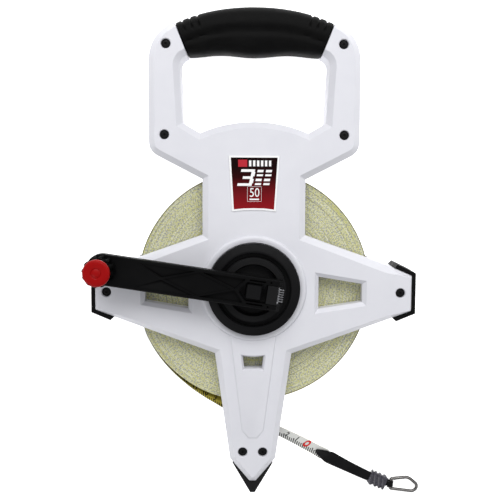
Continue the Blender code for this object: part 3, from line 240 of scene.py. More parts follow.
def wire_steel(name, top, shaded_flank):
    """Plated wire with painted light: brightest along its top, which faces up, and painted shade down
    its flanks.
    """
    nodes = Nodes(name)
    split = nodes.add("ShaderNodeSeparateXYZ", Vector=nodes.coordinates.outputs["Normal"])
    painted_light_mask = nodes.math("ABSOLUTE", split.outputs["Z"])
    spots = nodes.noise(1.4, detail=6.0, roughness=0.75)
    # Painted light and shade: the colour runs from the shaded flanks to the lit top by how far each
    # face points up or down.
    tone = nodes.ramp(painted_light_mask, ((0.55, shaded_flank), (0.95, top)))
    nodes.set(Base_Color=nodes.mix(nodes.spread(spots, 0.0, 0.4, start=0.56), tone, shaded_flank),
              Roughness=nodes.spread(spots, 0.16, 0.3), Normal=nodes.bump(spots, 0.01))
    nodes.shader.inputs["Metallic"].default_value = 1.0
    return nodes.material


def rubber(name, base, worn, grain=0.55, depth=0.05, gloss=0.2):
    """Soft rubber: pebbled skin, dusty in places."""
    nodes = Nodes(name)
    pebbles = nodes.add("ShaderNodeTexVoronoi", Vector=nodes.place(), Scale=1.0 / (grain * MM))
    dust = nodes.noise(11.0, detail=6.0, roughness=0.65)
    nodes.set(Base_Color=nodes.ramp(dust, ((0.35, base), (0.75, worn))),
              Roughness=nodes.spread(dust, 0.48, 0.66))
    cells = nodes.bump(pebbles.outputs["Distance"], depth)
    nodes.set(Normal=nodes.bump(nodes.noise(0.3, detail=2.0), depth * 0.4, under=cells))
    nodes.shader.inputs["Specular IOR Level"].default_value = gloss
    return nodes.material


def label_paint():
    """Printed label that fades from black at the top to dark red."""
    nodes = Nodes("label_print")
    split = nodes.add("ShaderNodeSeparateXYZ", Vector=nodes.coordinates.outputs["Object"])
    height = nodes.spread(split.outputs["Y"], 0.0, 1.0, start=65.0 * MM, stop=108.0 * MM)
    fade = nodes.ramp(height, ((0.0, (0.27, 0.008, 0.012)), (0.3, (0.16, 0.007, 0.010)),
                               (0.62, (0.022, 0.0015, 0.002)), (0.82, (0.0015,) * 3)))
    dots = nodes.noise(0.5, detail=1.0)
    nodes.set(Base_Color=nodes.mix(nodes.spread(dots, 0.0, 0.12), fade, (0.1, 0.004, 0.006)),
              Roughness=nodes.spread(nodes.noise(6.0, detail=5.0), 0.32, 0.48),
              Normal=nodes.bump(nodes.noise(1.2), 0.01))
    nodes.shader.inputs["Specular IOR Level"].default_value = 0.06
    return nodes.material


def coil_edges():
    """Edges of the wound tape: thin rings of yellow and grey-white with short dark flecks, and
    painted shade along the coil's outside turn and the outer edge of the loose turns.
    """
    nodes = Nodes("wound_tape")
    split = nodes.add("ShaderNodeSeparateXYZ", Vector=nodes.coordinates.outputs["Object"])
    x, y = split.outputs["X"], split.outputs["Y"]
    radius = nodes.math("SQRT", nodes.math("ADD", nodes.math("MULTIPLY", x, x),
                                           nodes.math("MULTIPLY", y, y)))
    angle = nodes.math("ARCTAN2", y, x)
    around = nodes.add("ShaderNodeCombineXYZ", X=nodes.math("MULTIPLY", radius, 1.0 / MM),
                       Y=nodes.math("MULTIPLY", angle, 90.0), Z=0.0)

    def rings(across, along, detail):
        mapping = nodes.tree.nodes.new("ShaderNodeMapping")
        mapping.inputs["Scale"].default_value = (1.0 / across, 1.0 / along, 1.0)
        nodes.tree.links.new(around.outputs[0], mapping.inputs["Vector"])
        node = nodes.add("ShaderNodeTexNoise", Vector=mapping.outputs[0], Scale=1.0, Detail=detail)
        return node.outputs["Fac"]

    turns = rings(0.8, 90.0, 2.0)
    bands = rings(6.0, 50.0, 3.0)
    flecks = rings(1.5, 1.2, 0.0)
    grains = rings(1.3, 1.5, 0.0)
    yellow, pale, grey = (0.60, 0.585, 0.19), (0.78, 0.78, 0.64), (0.30, 0.31, 0.34)
    tone = nodes.ramp(turns, ((0.36, yellow), (0.52, (0.69, 0.69, 0.45)), (0.62, pale)))
    tone = nodes.mix(nodes.spread(bands, 0.0, 0.45), tone, (0.65, 0.65, 0.55))
    tone = nodes.mix(nodes.spread(flecks, 0.0, 0.8, start=0.50, stop=0.62), tone, grey)
    tone = nodes.mix(nodes.spread(grains, 0.0, 0.7, start=0.54, stop=0.66), tone, yellow)
    seams = nodes.spread(rings(0.7, 200.0, 0.0), 0.0, 0.5, start=0.66, stop=0.74)
    tone = nodes.mix(seams, tone, (0.16, 0.155, 0.07))

    # Painted shade darkens the coil's outside turn next to the frame, but not for the stretch where
    # the loose turns lie round it.
    edge = COIL_R[1] * MM
    outer_turn_shade = nodes.spread(radius, 0.0, 0.9, start=edge - 1.0 * MM, stop=edge - 0.7 * MM)
    from_middle = nodes.math("ABSOLUTE", nodes.math("SUBTRACT", angle, LOOSE_LINE[0]))
    shaded_stretch = nodes.math("GREATER_THAN", from_middle, LOOSE_LINE[1])
    tone = nodes.mix(nodes.math("MULTIPLY", outer_turn_shade, shaded_stretch), tone, (0.12, 0.11, 0.03))
    # Painted shade along the outer edge of the loose turns, next to the frame.
    rim_shade = nodes.spread(radius, 0.0, 0.85, start=edge + 1.1 * MM, stop=edge + 1.25 * MM)
    tone = nodes.mix(rim_shade, tone, (0.20, 0.17, 0.03))
    nodes.set(Base_Color=tone, Roughness=nodes.spread(turns, 0.45, 0.65),
              Normal=nodes.bump(nodes.math("ADD", turns, flecks), 0.12))
    return nodes.material


def tape_print(name, base, shade, reach, flip):
    """Tape face with short and long ticks along one edge; reach is how long the short ones are.
    The UV map holds millimetres: along the tape, and up from its lower edge."""
    nodes = Nodes(name)
    split = nodes.add("ShaderNodeSeparateXYZ", Vector=nodes.coordinates.outputs["UV"])
    along = split.outputs["X"]
    up = split.outputs["Y"]
    if flip:
        up = nodes.math("SUBTRACT", TAPE_WIDTH, up)
    leaning = nodes.math("MULTIPLY_ADD", up, TICK_LEAN, along)

    def comb(pitch, width, reach):
        nearest = nodes.math("PINGPONG", leaning, pitch / 2.0)
        line = nodes.math("LESS_THAN", nearest, width / 2.0)
        return nodes.math("MULTIPLY", line, nodes.math("LESS_THAN", up, reach))

    ink = nodes.math("MAXIMUM", comb(TICK_PITCH, TICK_WIDTH, reach),
                     comb(LONG_PITCH, LONG_WIDTH, LONG_REACH * reach))
    weave = nodes.noise(0.6, detail=2.0)
    stain = nodes.noise(9.0, detail=4.0)
    tone = nodes.ramp(stain, ((0.3, base), (0.75, shade)))
    nodes.set(Base_Color=nodes.mix(ink, tone, (0.02, 0.018, 0.016)),
              Roughness=nodes.spread(stain, 0.38, 0.52), Normal=nodes.bump(weave, 0.012))
    return nodes.material


def smoky(name, dark, light):
    """Slightly clear grey-violet plastic."""
    nodes = Nodes(name)
    cloud = nodes.noise(2.5, detail=4.0)
    nodes.set(Base_Color=nodes.ramp(cloud, ((0.3, dark), (0.7, light))),
              Roughness=nodes.spread(cloud, 0.18, 0.34), Normal=nodes.bump(nodes.noise(0.8), 0.02))
    nodes.shader.inputs["Transmission Weight"].default_value = 0.1
    nodes.shader.inputs["Coat Weight"].default_value = 0.3
    return nodes.material


def ink(name, colour):
    nodes = Nodes(name)
    wear = nodes.noise(0.7, detail=3.0)
    faded = tuple(0.85 * value + 0.01 for value in colour)
    nodes.set(Base_Color=nodes.ramp(wear, ((0.35, colour), (0.8, faded))),
              Roughness=nodes.spread(wear, 0.4, 0.55))
    nodes.shader.inputs["Specular IOR Level"].default_value = 0.15
    return nodes.material


# ---------------------------------------------------------------- mesh tools

def circle(radius, count, centre=(0.0, 0.0), start=0.0, stop=math.tau, closed=True):
    steps = count if closed else count - 1
    points = []
    for index in range(count):
        angle = start + (stop - start) * index / steps
        points.append((centre[0] + radius * math.cos(angle), centre[1] + radius * math.sin(angle)))
    return points


def smooth(low, high, value):
    """0 below low, 1 above high, and an even step between them."""
    t = min(max((value - low) / (high - low), 0.0), 1.0)
    return t * t * (3.0 - 2.0 * t)


def squared(angle, wide, tall):
    """Point at an angle on a unit circle with squared-off corners, squarer at lower powers."""
    x, y = math.cos(angle), math.sin(angle)
    return math.copysign(abs(x) ** wide, x), math.copysign(abs(y) ** tall, y)


def rounded(corners, steps=6):
    """Polygon from (x, y, radius) corners, each radius drawn as an arc."""
    points = []
    count = len(corners)
    for index, (x, y, radius) in enumerate(corners):
        here = Vector((x, y))
        if radius <= 0.0:
            points.append((x, y))
            continue
        before = (Vector(corners[index - 1][:2]) - here).normalized()
        after = (Vector(corners[(index + 1) % count][:2]) - here).normalized()
        half = before.angle(after) / 2.0
        reach = radius / math.tan(half)
        centre = here + (before + after).normalized() * radius / math.sin(half)
        first = here + before * reach - centre
        last = here + after * reach - centre
        sweep = first.angle_signed(last)
        for step in range(steps + 1):
            arm = first.copy()
            arm.rotate(Matrix.Rotation(-sweep * step / steps, 2))
            points.append(tuple(centre + arm))
    return points


def inset(points, distance):
    """Counter-clockwise outline moved inwards, with mitred corners."""
    moved = []
    for index, point in enumerate(points):
        here = Vector(point)
        into = (here - Vector(points[index - 1])).normalized()
        out = (Vector(points[(index + 1) % len(points)]) - here).normalized()
        mitre = Vector((-into.y - out.y, into.x + out.x)).normalized()
        cosine = mitre.dot(Vector((-into.y, into.x)))
        moved.append(tuple(here + mitre * distance / max(cosine, 0.3)))
    return moved


def loft(loops, caps=True, closed=False):
    bm = bmesh.new()
    rings = [[bm.verts.new(point) for point in loop] for loop in loops]
    count = len(rings[0])
    pairs = list(zip(rings, rings[1:]))
    if closed:
        pairs.append((rings[-1], rings[0]))
    for low, high in pairs:
        for index in range(count):
            after = (index + 1) % count
            bm.faces.new((low[index], low[after], high[after], high[index]))
    if caps and not closed:
        bm.faces.new(list(reversed(rings[0])))
        bm.faces.new(rings[-1])
    return bm


def at(points, z):
    return [(x, y, z) for x, y in points]


def lathe(profile, segments, centre=(0.0, 0.0)):
    """Turn a closed (radius, z) profile about a vertical axis."""
    bm = bmesh.new()
    rings = []
    for radius, z in profile:
        if radius < 1e-6:
            rings.append([bm.verts.new((centre[0], centre[1], z))] * segments)
        else:
            rings.append([bm.verts.new((x, y, z)) for x, y in circle(radius, segments, centre)])
    for index, ring in enumerate(rings):
        after = rings[(index + 1) % len(rings)]
        for step in range(segments):
            ahead = (step + 1) % segments
            corners = []
            for vert in (ring[step], ring[ahead], after[ahead], after[step]):
                if vert not in corners:
                    corners.append(vert)
            if len(corners) > 2:
                bm.faces.new(corners)
    return bm


def tube(points, radius, sides, closed=False):
    places = [Vector(point) for point in points]
    count = len(places)
    loops = []
    normal = None
    for index, here in enumerate(places):
        before = places[index - 1] if closed or index else here
        after = places[(index + 1) % count] if closed or index < count - 1 else here
        along = (after - before).normalized()
        if normal is None:
            normal = along.orthogonal().normalized()
        normal = (normal - along * normal.dot(along)).normalized()
        side = along.cross(normal)
        loops.append([here + normal * x + side * y for x, y in circle(radius, sides)])
    return loft(loops, closed=closed)


def merge(target, other):
    """Add one bmesh's faces to another as a separate shell."""
    copy = bpy.data.meshes.new("shell")
    other.to_mesh(copy)
    other.free()
    target.from_mesh(copy)
    bpy.data.meshes.remove(copy)


def turn_to_crank(bm):
    bmesh.ops.rotate(bm, verts=bm.verts, cent=(0.0, 0.0, 0.0),
                     matrix=Matrix.Rotation(CRANK_ANGLE, 3, "Z"))


def add_piece(name, bm, look, body, stands_for=(), sharp=32.0, on_crank=False):
    """Millimetre bmesh to a smooth-shaded piece that rides on a body."""
    if on_crank:
        turn_to_crank(bm)
    bmesh.ops.recalc_face_normals(bm, faces=bm.faces)
    bmesh.ops.scale(bm, verts=bm.verts, vec=(MM, MM, MM))
    mesh = bpy.data.meshes.new(name)
    bm.to_mesh(mesh)
    bm.free()
    for each in look if isinstance(look, (list, tuple)) else (look,):
        mesh.materials.append(each)
    mesh.shade_smooth()
    mesh.set_sharp_from_angle(angle=math.radians(sharp))
    piece = bpy.data.objects.new(name, mesh)
    bpy.context.collection.objects.link(piece)
    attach(piece, body)
    if stands_for:
        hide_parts(*stands_for)
    return piece


def dress(node, look, edge=0.0, sharp=32.0):
    """Give a CAD node its material, smooth shading and softened edges."""
    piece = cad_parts[node]
    piece.data.materials.clear()
    piece.data.materials.append(look)
    piece.data.shade_smooth()
    piece.data.set_sharp_from_angle(angle=math.radians(sharp))
    if edge:
        soften(piece, edge)


def soften(piece, edge):
    bevel = piece.modifiers.new("soft_edges", "BEVEL")
    bevel.width = edge * MM
    bevel.segments = 2
    bevel.limit_method = "ANGLE"
    bevel.angle_limit = math.radians(30.0)
    bevel.harden_normals = True


def softened_copy(node, name, body, look, edge):
    """A CAD node's shape with its flat faces merged, so that its edges round off evenly."""
    bm = bmesh.new()
    bm.from_mesh(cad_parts[node].data)
    bmesh.ops.remove_doubles(bm, verts=bm.verts, dist=1e-6)
    bmesh.ops.dissolve_limit(bm, verts=bm.verts, edges=bm.edges, angle_limit=math.radians(0.6))
    bmesh.ops.scale(bm, verts=bm.verts, vec=(1.0 / MM, 1.0 / MM, 1.0 / MM))
    piece = add_piece(name, bm, look, body, (node,), sharp=28.0)
    soften(piece, edge)
    return piece


# ---------------------------------------------------------------- ribbons

def between(values, position):
    """Value at a position along a list, between its two neighbours there."""
    index = min(int(position), len(values) - 2)
    t = position - index
    return values[index] + (values[index + 1] - values[index]) * t


def smooth_route(places, spacing):
    """Even points on a Catmull-Rom curve, each with its position along the list of places."""
    knots = [Vector(place) for place in places]
    knots = [2 * knots[0] - knots[1]] + knots + [2 * knots[-1] - knots[-2]]
    points = []
    for index in range(1, len(knots) - 2):
        a, b, c, d = knots[index - 1:index + 3]
        steps = max(2, round((c - b).length / spacing))
        for step in range(steps):
            t = step / steps
            curve = (2 * b + (c - a) * t + (2 * a - 5 * b + 4 * c - d) * t ** 2
                     + (3 * b - a - 3 * c + d) * t ** 3) / 2.0
            points.append((index - 1 + t, curve))
    points.append((len(places) - 1.0, knots[-2]))
    return points


class Ribbon:
    """Frames along a twisted strap. Each station holds its centre, its width direction, its
    outward direction and its distance from the start."""

    def __init__(self, places, twists, spacing):
        route = smooth_route(places, spacing)
        self.stations = []
        distance = 0.0
        for index, (position, here) in enumerate(route):
            before = route[max(index - 1, 0)][1]
            after = route[min(index + 1, len(route) - 1)][1]
            along = (after - before).normalized()
            outward = along.cross(Vector((0.0, 0.0, 1.0))).normalized()
            up = outward.cross(along)
            angle = math.radians(between(twists, position))
            width = up * math.cos(angle) + outward * math.sin(angle)
            face = outward * math.cos(angle) - up * math.sin(angle)
            if index:
                distance += (here - before).length
            self.stations.append((position, here, width, face, distance))
        self.length = distance

    def point(self, along, across, height):
        """Point at a distance along the strap, across from its middle and above its face."""
        for first, second in zip(self.stations, self.stations[1:]):
            if second[4] >= along or second is self.stations[-1]:
                share = (along - first[4]) / (second[4] - first[4])
                centre = first[1].lerp(second[1], share)
                width = first[2].lerp(second[2], share)
                face = first[3].lerp(second[3], share)
                return centre + width * across + face * height

    def centreline(self):
        return [tuple(station[1] * MM) for station in self.stations]


def make_tape(looks):
    """Two-sided tape: white outside, yellow inside, printed along one edge of each."""
    ribbon = Ribbon(LEAD_ROUTE, LEAD_TWIST, 1.5)
    half, thick = TAPE_WIDTH / 2.0, TAPE_THICKNESS / 2.0
    bm = bmesh.new()
    uv = bm.loops.layers.uv.new("print")
    corners = ((-half, thick), (half, thick), (half, -thick), (-half, -thick))
    rows = []
    zero = ribbon.length - ZERO_TO_END
    for _, here, width, face, distance in ribbon.stations:
        row = [bm.verts.new(here + width * across + face * height) for across, height in corners]
        rows.append((row, zero - distance))
    for (low, start), (high, stop) in zip(rows, rows[1:]):
        for side in range(4):
            after = (side + 1) % 4
            quad = bm.faces.new((low[side], low[after], high[after], high[side]))
            quad.material_index = (0, 2, 1, 2)[side]
            places = ((start, side), (start, after), (stop, after), (stop, side))
            for loop, (distance, corner) in zip(quad.loops, places):
                loop[uv].uv = (distance, corners[corner][0] + half)
    for row in (rows[0][0], rows[-1][0]):
        bm.faces.new(row).material_index = 2
    tape = add_piece("tape_ribbon", bm, looks, "frame", ("tape_lead",))
    return tape, ribbon


def digit_outline(text, size, weight=0.0):
    """Flat mesh of a numeral in millimetres, centred on its middle."""
    curve = bpy.data.curves.new("numeral", "FONT")
    curve.body = text
    curve.size = size
    curve.align_x = "CENTER"
    curve.align_y = "CENTER"
    curve.resolution_u = 3
    curve.offset = weight
    source = bpy.data.objects.new("numeral", curve)
    bpy.context.collection.objects.link(source)
    mesh = bpy.data.meshes.new_from_object(source)
    bpy.data.objects.remove(source, do_unlink=True)
    bpy.data.curves.remove(curve)
    return mesh


def print_on_ribbon(bm, ribbon, mesh, along, across, height, up):
    """Wrap a flat mesh onto the ribbon's face. up is 1 or -1, the way its top points."""
    verts = [bm.verts.new(ribbon.point(along + vert.co.x, across + up * NUMERAL_STRETCH * vert.co.y,
                                       height))
             for vert in mesh.vertices]
    for polygon in mesh.polygons:
        bm.faces.new([verts[index] for index in polygon.vertices])


def make_numerals(ribbon, look):
    """Numerals at the long ticks, counted from the zero ring."""
    bm = bmesh.new()
    proud = TAPE_THICKNESS / 2.0 + INK_HEIGHT
    zero = ribbon.length - ZERO_TO_END
    for mark in range(1, int(zero // LONG_PITCH)):
        along = zero - LONG_PITCH * mark
        mesh = digit_outline(str(mark), NUMERAL_SIZE, NUMERAL_WEIGHT)
        if along < TWIST_PLACE * ribbon.length:
            print_on_ribbon(bm, ribbon, mesh, along, 0.9, -proud, -1.0)
        else:
            print_on_ribbon(bm, ribbon, mesh, along, 1.0, proud, 1.0)
        bpy.data.meshes.remove(mesh)
    return add_piece("tape_numerals", bm, look, "frame")


def make_zero_mark(ribbon, look):
    """Red ring printed near the end of the tape."""
    centre = ribbon.length - ZERO_TO_END
    height = TAPE_THICKNESS / 2.0 + 0.05
    loops = [[ribbon.point(centre + x, ZERO_ACROSS + ZERO_STRETCH * y, height)
              for x, y in circle(radius, 28)] for radius in ZERO_RING]
    return add_piece("tape_ring_mark", loft(loops, caps=False), look, "frame")


def make_strap(look):
    """Folded end strap with a rounded tongue and a raised seam along each edge."""
    ribbon = Ribbon(STRAP_ROUTE, STRAP_TWIST, 1.0)
    section = [squared(math.tau * index / 24, 0.35, 0.6) for index in range(24)]
    loops = []
    for position, here, width, face, distance in ribbon.stations:
        half = between(STRAP_WIDTH, position) / 2.0
        reach = half * min(1.0, (distance + 0.1) / TONGUE) ** 0.5
        thick = STRAP_HALF * min(1.0, 0.55 + distance / 12.0)
        loop = []
        for across, height in section:
            seam = 0.16 * math.exp(-((abs(across) - 0.74) / 0.07) ** 2)
            loop.append(here + width * (reach * across) + face * (height * (thick + seam)))
        loops.append(loop)
    return add_piece("strap_body", loft(loops), look, "frame", ("end_strap",),
                     sharp=60.0)


def make_clamp(looks):
    """Collar with slanted ridges; the second look, a darker copy of the clamp's plastic, paints shade
    into the grooves between them.
    """
    start, end = Vector(CLAMP_ENDS[0]), Vector(CLAMP_ENDS[1])
    along = (end - start).normalized()
    across = Vector((-along.y, along.x))
    length = (end - start).length
    middle, tall = (CLAMP_Z[0] + CLAMP_Z[1]) / 2.0, (CLAMP_Z[1] - CLAMP_Z[0]) / 2.0
    steps, corners = 72, 36
    loops = []
    for index in range(steps + 1):
        share = index / steps
        wave = 0.5 - 0.5 * math.cos(math.tau * CLAMP_RIDGES * share)
        swell = 0.76 + 0.24 * wave ** 0.6
        loop = []
        for corner in range(corners):
            side, rise = squared(math.tau * corner / corners, 0.55, 0.55)
            lean = CLAMP_LEAN * side * math.sin(math.pi * share) ** 0.5
            centre = start + along * min(max(length * share - lean, 0.0), length)
            place = centre + across * CLAMP_HALF * swell * side
            loop.append((place.x, place.y, middle + tall * swell * rise))
        loops.append(loop)
    bm = loft(loops)
    for face in bm.faces:
        share = (face.index // corners + 0.5) / steps
        # Painted shade: faces in the grooves between the ridges take the darker copy of the plastic.
        if math.cos(math.tau * CLAMP_RIDGES * share) > 0.35:
            face.material_index = 1
    return add_piece("clamp_body", bm, looks, "frame", ("end_clamp",),
                     sharp=50.0)


def ring_place(x, y):
    """Point of the ring's plane, which slopes down away from the clamp."""
    share = 0.5 + x / RING_LENGTH
    return Vector((RING_CENTRE[0] + x, RING_CENTRE[1] + y,
                   RING_Z[0] + (RING_Z[1] - RING_Z[0]) * share))


def make_ring(look, dark):
    """Spring ring with a hinged gate along its upper side. Returns ring, gate and pins."""
    wire = [ring_place(x, y) for x, y in rounded(RING_CORNERS, steps=14)]
    ring = add_piece("ring_wire", tube(wire, RING_WIRE_R, 16, closed=True), look, "hook",
                     ("hook_ring",), sharp=60.0)
    gate = bmesh.new()
    first, last = Vector(RING_CORNERS[0][:2]), Vector(RING_CORNERS[-1][:2])
    rod = [ring_place(*first.lerp(last, share)) for share in (0.16, 0.76)]
    for point, step in zip(rod, (1.6, -1.6)):
        merge(gate, tube([point, point + Vector((step, 0.0, 0.0))], RING_WIRE_R + 0.12, 16))
    merge(gate, tube(rod, RING_WIRE_R + 0.04, 16))
    gate_piece = add_piece("ring_gate", gate, look, "hook")
    pins = bmesh.new()
    half_pin = Vector((0.0, 0.0, 1.4))
    for point in rod:
        merge(pins, tube([point - half_pin, point + half_pin], 0.5, 12))
    pin_piece = add_piece("ring_gate_pins", pins, dark, "hook")
    return ring, gate_piece, pin_piece


# ---------------------------------------------------------------- grip

def grip_point(s, turn, side):
    """Point on the grip: s runs from -1 to 1 along it, turn from 0 at the top to pi."""
    top = GRIP_TOP_Y - (GRIP_TOP_Y - GRIP_END_TOP[1]) * s * s
    bottom = GRIP_BOTTOM[1] + GRIP_WAVE * math.sin(math.pi * s) ** 2
    shape, rise = squared(turn, 2.0 / 2.8, 2.0 / 2.8)
    down = (1.0 - shape) / 2.0
    edge = max(0.0, (abs(s) - 0.982) / 0.018)
    shrink = 1.1 * (1.0 - math.sqrt(max(0.0, 1.0 - edge * edge)))

    # The upper roll ends in a crease that arches over a flatter finger pad.
    crease = 0.50 + 0.13 * s * s
    flatter = 2.0 * smooth(crease - 0.15, crease + 0.02, down) * (1.0 - smooth(0.86, 1.0, down))
    line = 0.7 * math.exp(-((down - crease) / 0.018) ** 2)
    pad = 0.9 * smooth(crease + 0.03, crease + 0.16, down) * (1.0 - smooth(0.80, 0.98, down))
    sink = (flatter + line - pad) * (1.0 - smooth(0.90, 1.0, abs(s)) * 0.5)

    notch = sum(math.exp(-((abs(s) - place) / 0.013) ** 2) for place in GRIP_NOTCHES)
    notch *= 1.25 * (1.0 - smooth(0.28, 0.40, down))
    middle, reach = (top + bottom) / 2.0, (top - bottom) / 2.0 - shrink - notch * abs(shape)
    depth = MID_Z - GRIP_SIDE - sink - notch * rise - shrink
    y = middle + reach * shape
    slope = (GRIP_END_TOP[0] - GRIP_BOTTOM[0]) / (GRIP_END_TOP[1] - GRIP_BOTTOM[1])
    x = s * (GRIP_BOTTOM[0] - 0.3 + slope * (y - GRIP_BOTTOM[1]))
    return (x, y, MID_Z + side * max(depth * rise, 0.06))


def make_grip(name, node, side, look):
    stations, turns = 260, 56
    loops = []
    for index in range(stations + 1):
        s = -1.0 + 2.0 * index / stations
        loops.append([grip_point(s, math.pi * turn / turns, side) for turn in range(turns + 1)])
    return add_piece(name, loft(loops), look, "frame", (node,), sharp=50.0)


# ---------------------------------------------------------------- spool

def make_coil(look):
    """Wound tape: every layer stands a little higher or lower than its neighbours."""
    chance = random.Random(11)
    inner, outer = COIL_R
    low, high = COIL_Z
    pitch = (outer - inner) / COIL_LAYERS
    top, under = [], []
    for layer in range(COIL_LAYERS):
        start = inner + pitch * layer
        rise = chance.uniform(0.0, 0.22)
        fall = chance.uniform(0.0, 0.22)
        for share, drop in ((0.0, LAYER_DROP), (0.22, 0.0), (0.78, 0.0), (1.0, LAYER_DROP)):
            top.append((start + pitch * share * 0.98, high - rise - drop))
            under.append((start + pitch * share * 0.98, low + fall + drop))
    return add_piece("coil_layers", lathe(top + list(reversed(under)), 192), look, "spool",
                     ("tape_coil",), sharp=25.0)


def make_loose_turns(look):
    """Outer turns that have sprung away from the wound tape, up to where its end leaves."""
    low, high = COIL_Z[0] + 0.1, COIL_Z[1] - 0.1
    first, last = LOOSE_DEGREES
    thin, thick = LOOSE_THICK
    inner = COIL_R[1] + LOOSE_GAP
    loops = []
    for degree in range(first, last + 1):
        outer = inner + thin + (thick - thin) * smooth(first + 1.0, first + 11.0, degree)
        turn = Vector((math.cos(math.radians(degree)), math.sin(math.radians(degree))))
        section = ((inner, low), (outer, low), (outer, high), (inner, high))
        loops.append([(turn.x * radius, turn.y * radius, z) for radius, z in section])
    return add_piece("loose_turns", loft(loops), look, "frame", sharp=25.0)


# ---------------------------------------------------------------- hub

def make_bezel(look):
    """Black ring round the hub: leaning wall, flat sloping face and a lip over the groove."""
    low = 43.35
    profile = [(31.25, low), (37.5, low), (37.7, low + 0.3), (38.15, 49.4), (38.2, 50.1),
               (38.05, 51.1), (37.6, 51.7), (32.6, 53.6), (31.8, 53.8), (30.9, 53.7),
               (30.35, 53.1), (30.2, 52.4), (30.25, 50.2), (31.25, 49.4)]
    return add_piece("bezel_ring", lathe(profile, 144), look, "frame", ("hub_bezel",),
                     sharp=28.0)


def make_collar(look):
    """White lip moulded round the hub."""
    profile = [(38.75, 43.05), (44.05, 43.05), (43.9, 43.5), (42.7, 45.3), (42.4, 45.52),
               (42.0, 45.62), (39.2, 45.64), (38.9, 45.5), (38.75, 45.1)]
    return add_piece("collar_lip", lathe(profile, 144), look, "frame",
                     sharp=45.0)


def make_screws(look):
    """Recessed screws: rounded heads with a socket."""
    index = 0
    for x, y in SCREWS:
        for side in (-1.0, 1.0):
            index += 1
            centre = (side * x, y)
            profile = [(0.0, 8.2), (1.55, 8.2), (1.55, 38.8), (3.65, 38.8), (3.65, 40.0),
                       (3.4, 40.7), (2.9, 41.05), (2.2, 41.2), (1.3, 41.25), (1.1, 40.1),
                       (0.0, 40.1)]
            bm = lathe(profile, 32, centre)
            add_piece(f"screw_{index}", bm, look, "frame", (f"frame_screw_{index}",),
                      sharp=40.0)


def make_knob(red, black):
    """Spinning knob: ribbed body and a dished red cap."""
    centre = (CRANK_REACH, 0.0)
    low, high = KNOB_Z
    steps = KNOB_RIBS * 14
    loops = []
    for z, shrink in ((low, 0.7), (low + 0.4, 0.2), (low + 1.0, 0.0), (high - 1.2, 0.0),
                      (high - 0.5, 0.2), (high, 0.6)):
        loop = []
        for index in range(steps):
            angle = math.tau * index / steps
            wave = 0.5 + 0.5 * math.cos(angle * KNOB_RIBS)
            radius = KNOB_R - 0.75 + 1.9 * smooth(0.22, 0.72, wave) - shrink
            loop.append((centre[0] + radius * math.cos(angle), radius * math.sin(angle), z))
        loops.append(loop)
    add_piece("knob_grip", loft(loops), black, "knob", ("knob_body",), sharp=50.0,
              on_crank=True)
    r = KNOB_R
    low, high = CAP_Z
    profile = [(0.0, low), (r - 0.1, low), (r, low + 0.3), (r, high - 1.9), (r - 0.15, high - 1.3),
               (r - 0.5, high - 0.75), (r - 1.1, high - 0.35), (r - 1.9, high - 0.1),
               (r - 3.4, high), (4.5, high - 0.05), (4.15, high - 0.15), (3.95, high - 0.45),
               (3.7, high - 0.6), (3.45, high - 0.45), (3.2, high - 0.2), (0.0, high - 0.15)]
    add_piece("knob_button", lathe(profile, 96, centre), red, "knob", ("knob_cap",),
              sharp=45.0, on_crank=True)


def make_springs(look):
    """Hinge spring of bright wire."""
    wire = []
    turns, steps = 6.0, 28
    centre_x, centre_z = HINGE_SPRING_PLACE
    for index in range(int(turns * steps) + 1):
        angle = math.tau * index / steps
        share = index / (turns * steps)
        wire.append((centre_x + HINGE_SPRING_R * math.cos(angle),
                     HINGE_SPRING_HALF * (2.0 * share - 1.0),
                     centre_z + HINGE_SPRING_R * math.sin(angle)))
    add_piece("hinge_coil", tube(wire, 0.6, 10), look, "crank", ("hinge_spring",),
              sharp=60.0, on_crank=True)


# ---------------------------------------------------------------- label

def make_label_border(look, z):
    """White border standing round the label plate."""
    inner, top, foot = (inset(LABEL, distance) for distance in LABEL_RIM)
    loops = [at(inner, z), at(LABEL, z), at(top, z - 0.05), at(foot, LABEL_FOOT_Z),
             at(inner, LABEL_FOOT_Z)]
    add_piece("label_border", loft(loops, closed=True), look, "frame")


def make_label(look, white, red):
    """Label with plain generic marks in place of the maker's print."""
    dress("label_plate", look)
    z = LABEL_TOP_Z + 0.03
    make_label_border(white, z)
    marks = bmesh.new()
    height = z + 0.02

    def shape(corners):
        marks.faces.new([marks.verts.new((x, y, height)) for x, y in corners])

    def bar(x0, y0, x1, y1, slant=0.0):
        shape(((x0, y0), (x1, y0), (x1 + slant, y1), (x0 + slant, y1)))

    make_block_three(shape)
    for line in range(2):
        for step in range(2):
            x0 = 2.0 + 6.9 * step - 1.5 * line
            y0 = 92.7 - 7.2 * line
            bar(x0 + 0.5, y0 + 3.2, x0 + 5.4, y0 + 5.2, 0.5)
            bar(x0, y0, x0 + 5.0, y0 + 1.6, 0.4)
    for step in range(6):
        x0 = -4.2 + 3.25 * step
        bar(x0, 100.7, x0 + 1.9, 105.5)
    for edges in LABEL_BARS:
        bar(*edges)
    numeral = digit_outline("50", 10.4)
    verts = [marks.verts.new((0.4 + 0.82 * vert.co.x, 79.0 + vert.co.y, height))
             for vert in numeral.vertices]
    for polygon in numeral.polygons:
        marks.faces.new([verts[index] for index in polygon.vertices])
    bpy.data.meshes.remove(numeral)
    add_piece("label_marks", marks, white, "frame")

    patch = bmesh.new()
    patch.faces.new([patch.verts.new(point) for point in at(LABEL_PATCH, height)])
    add_piece("label_patch", patch, red, "frame")


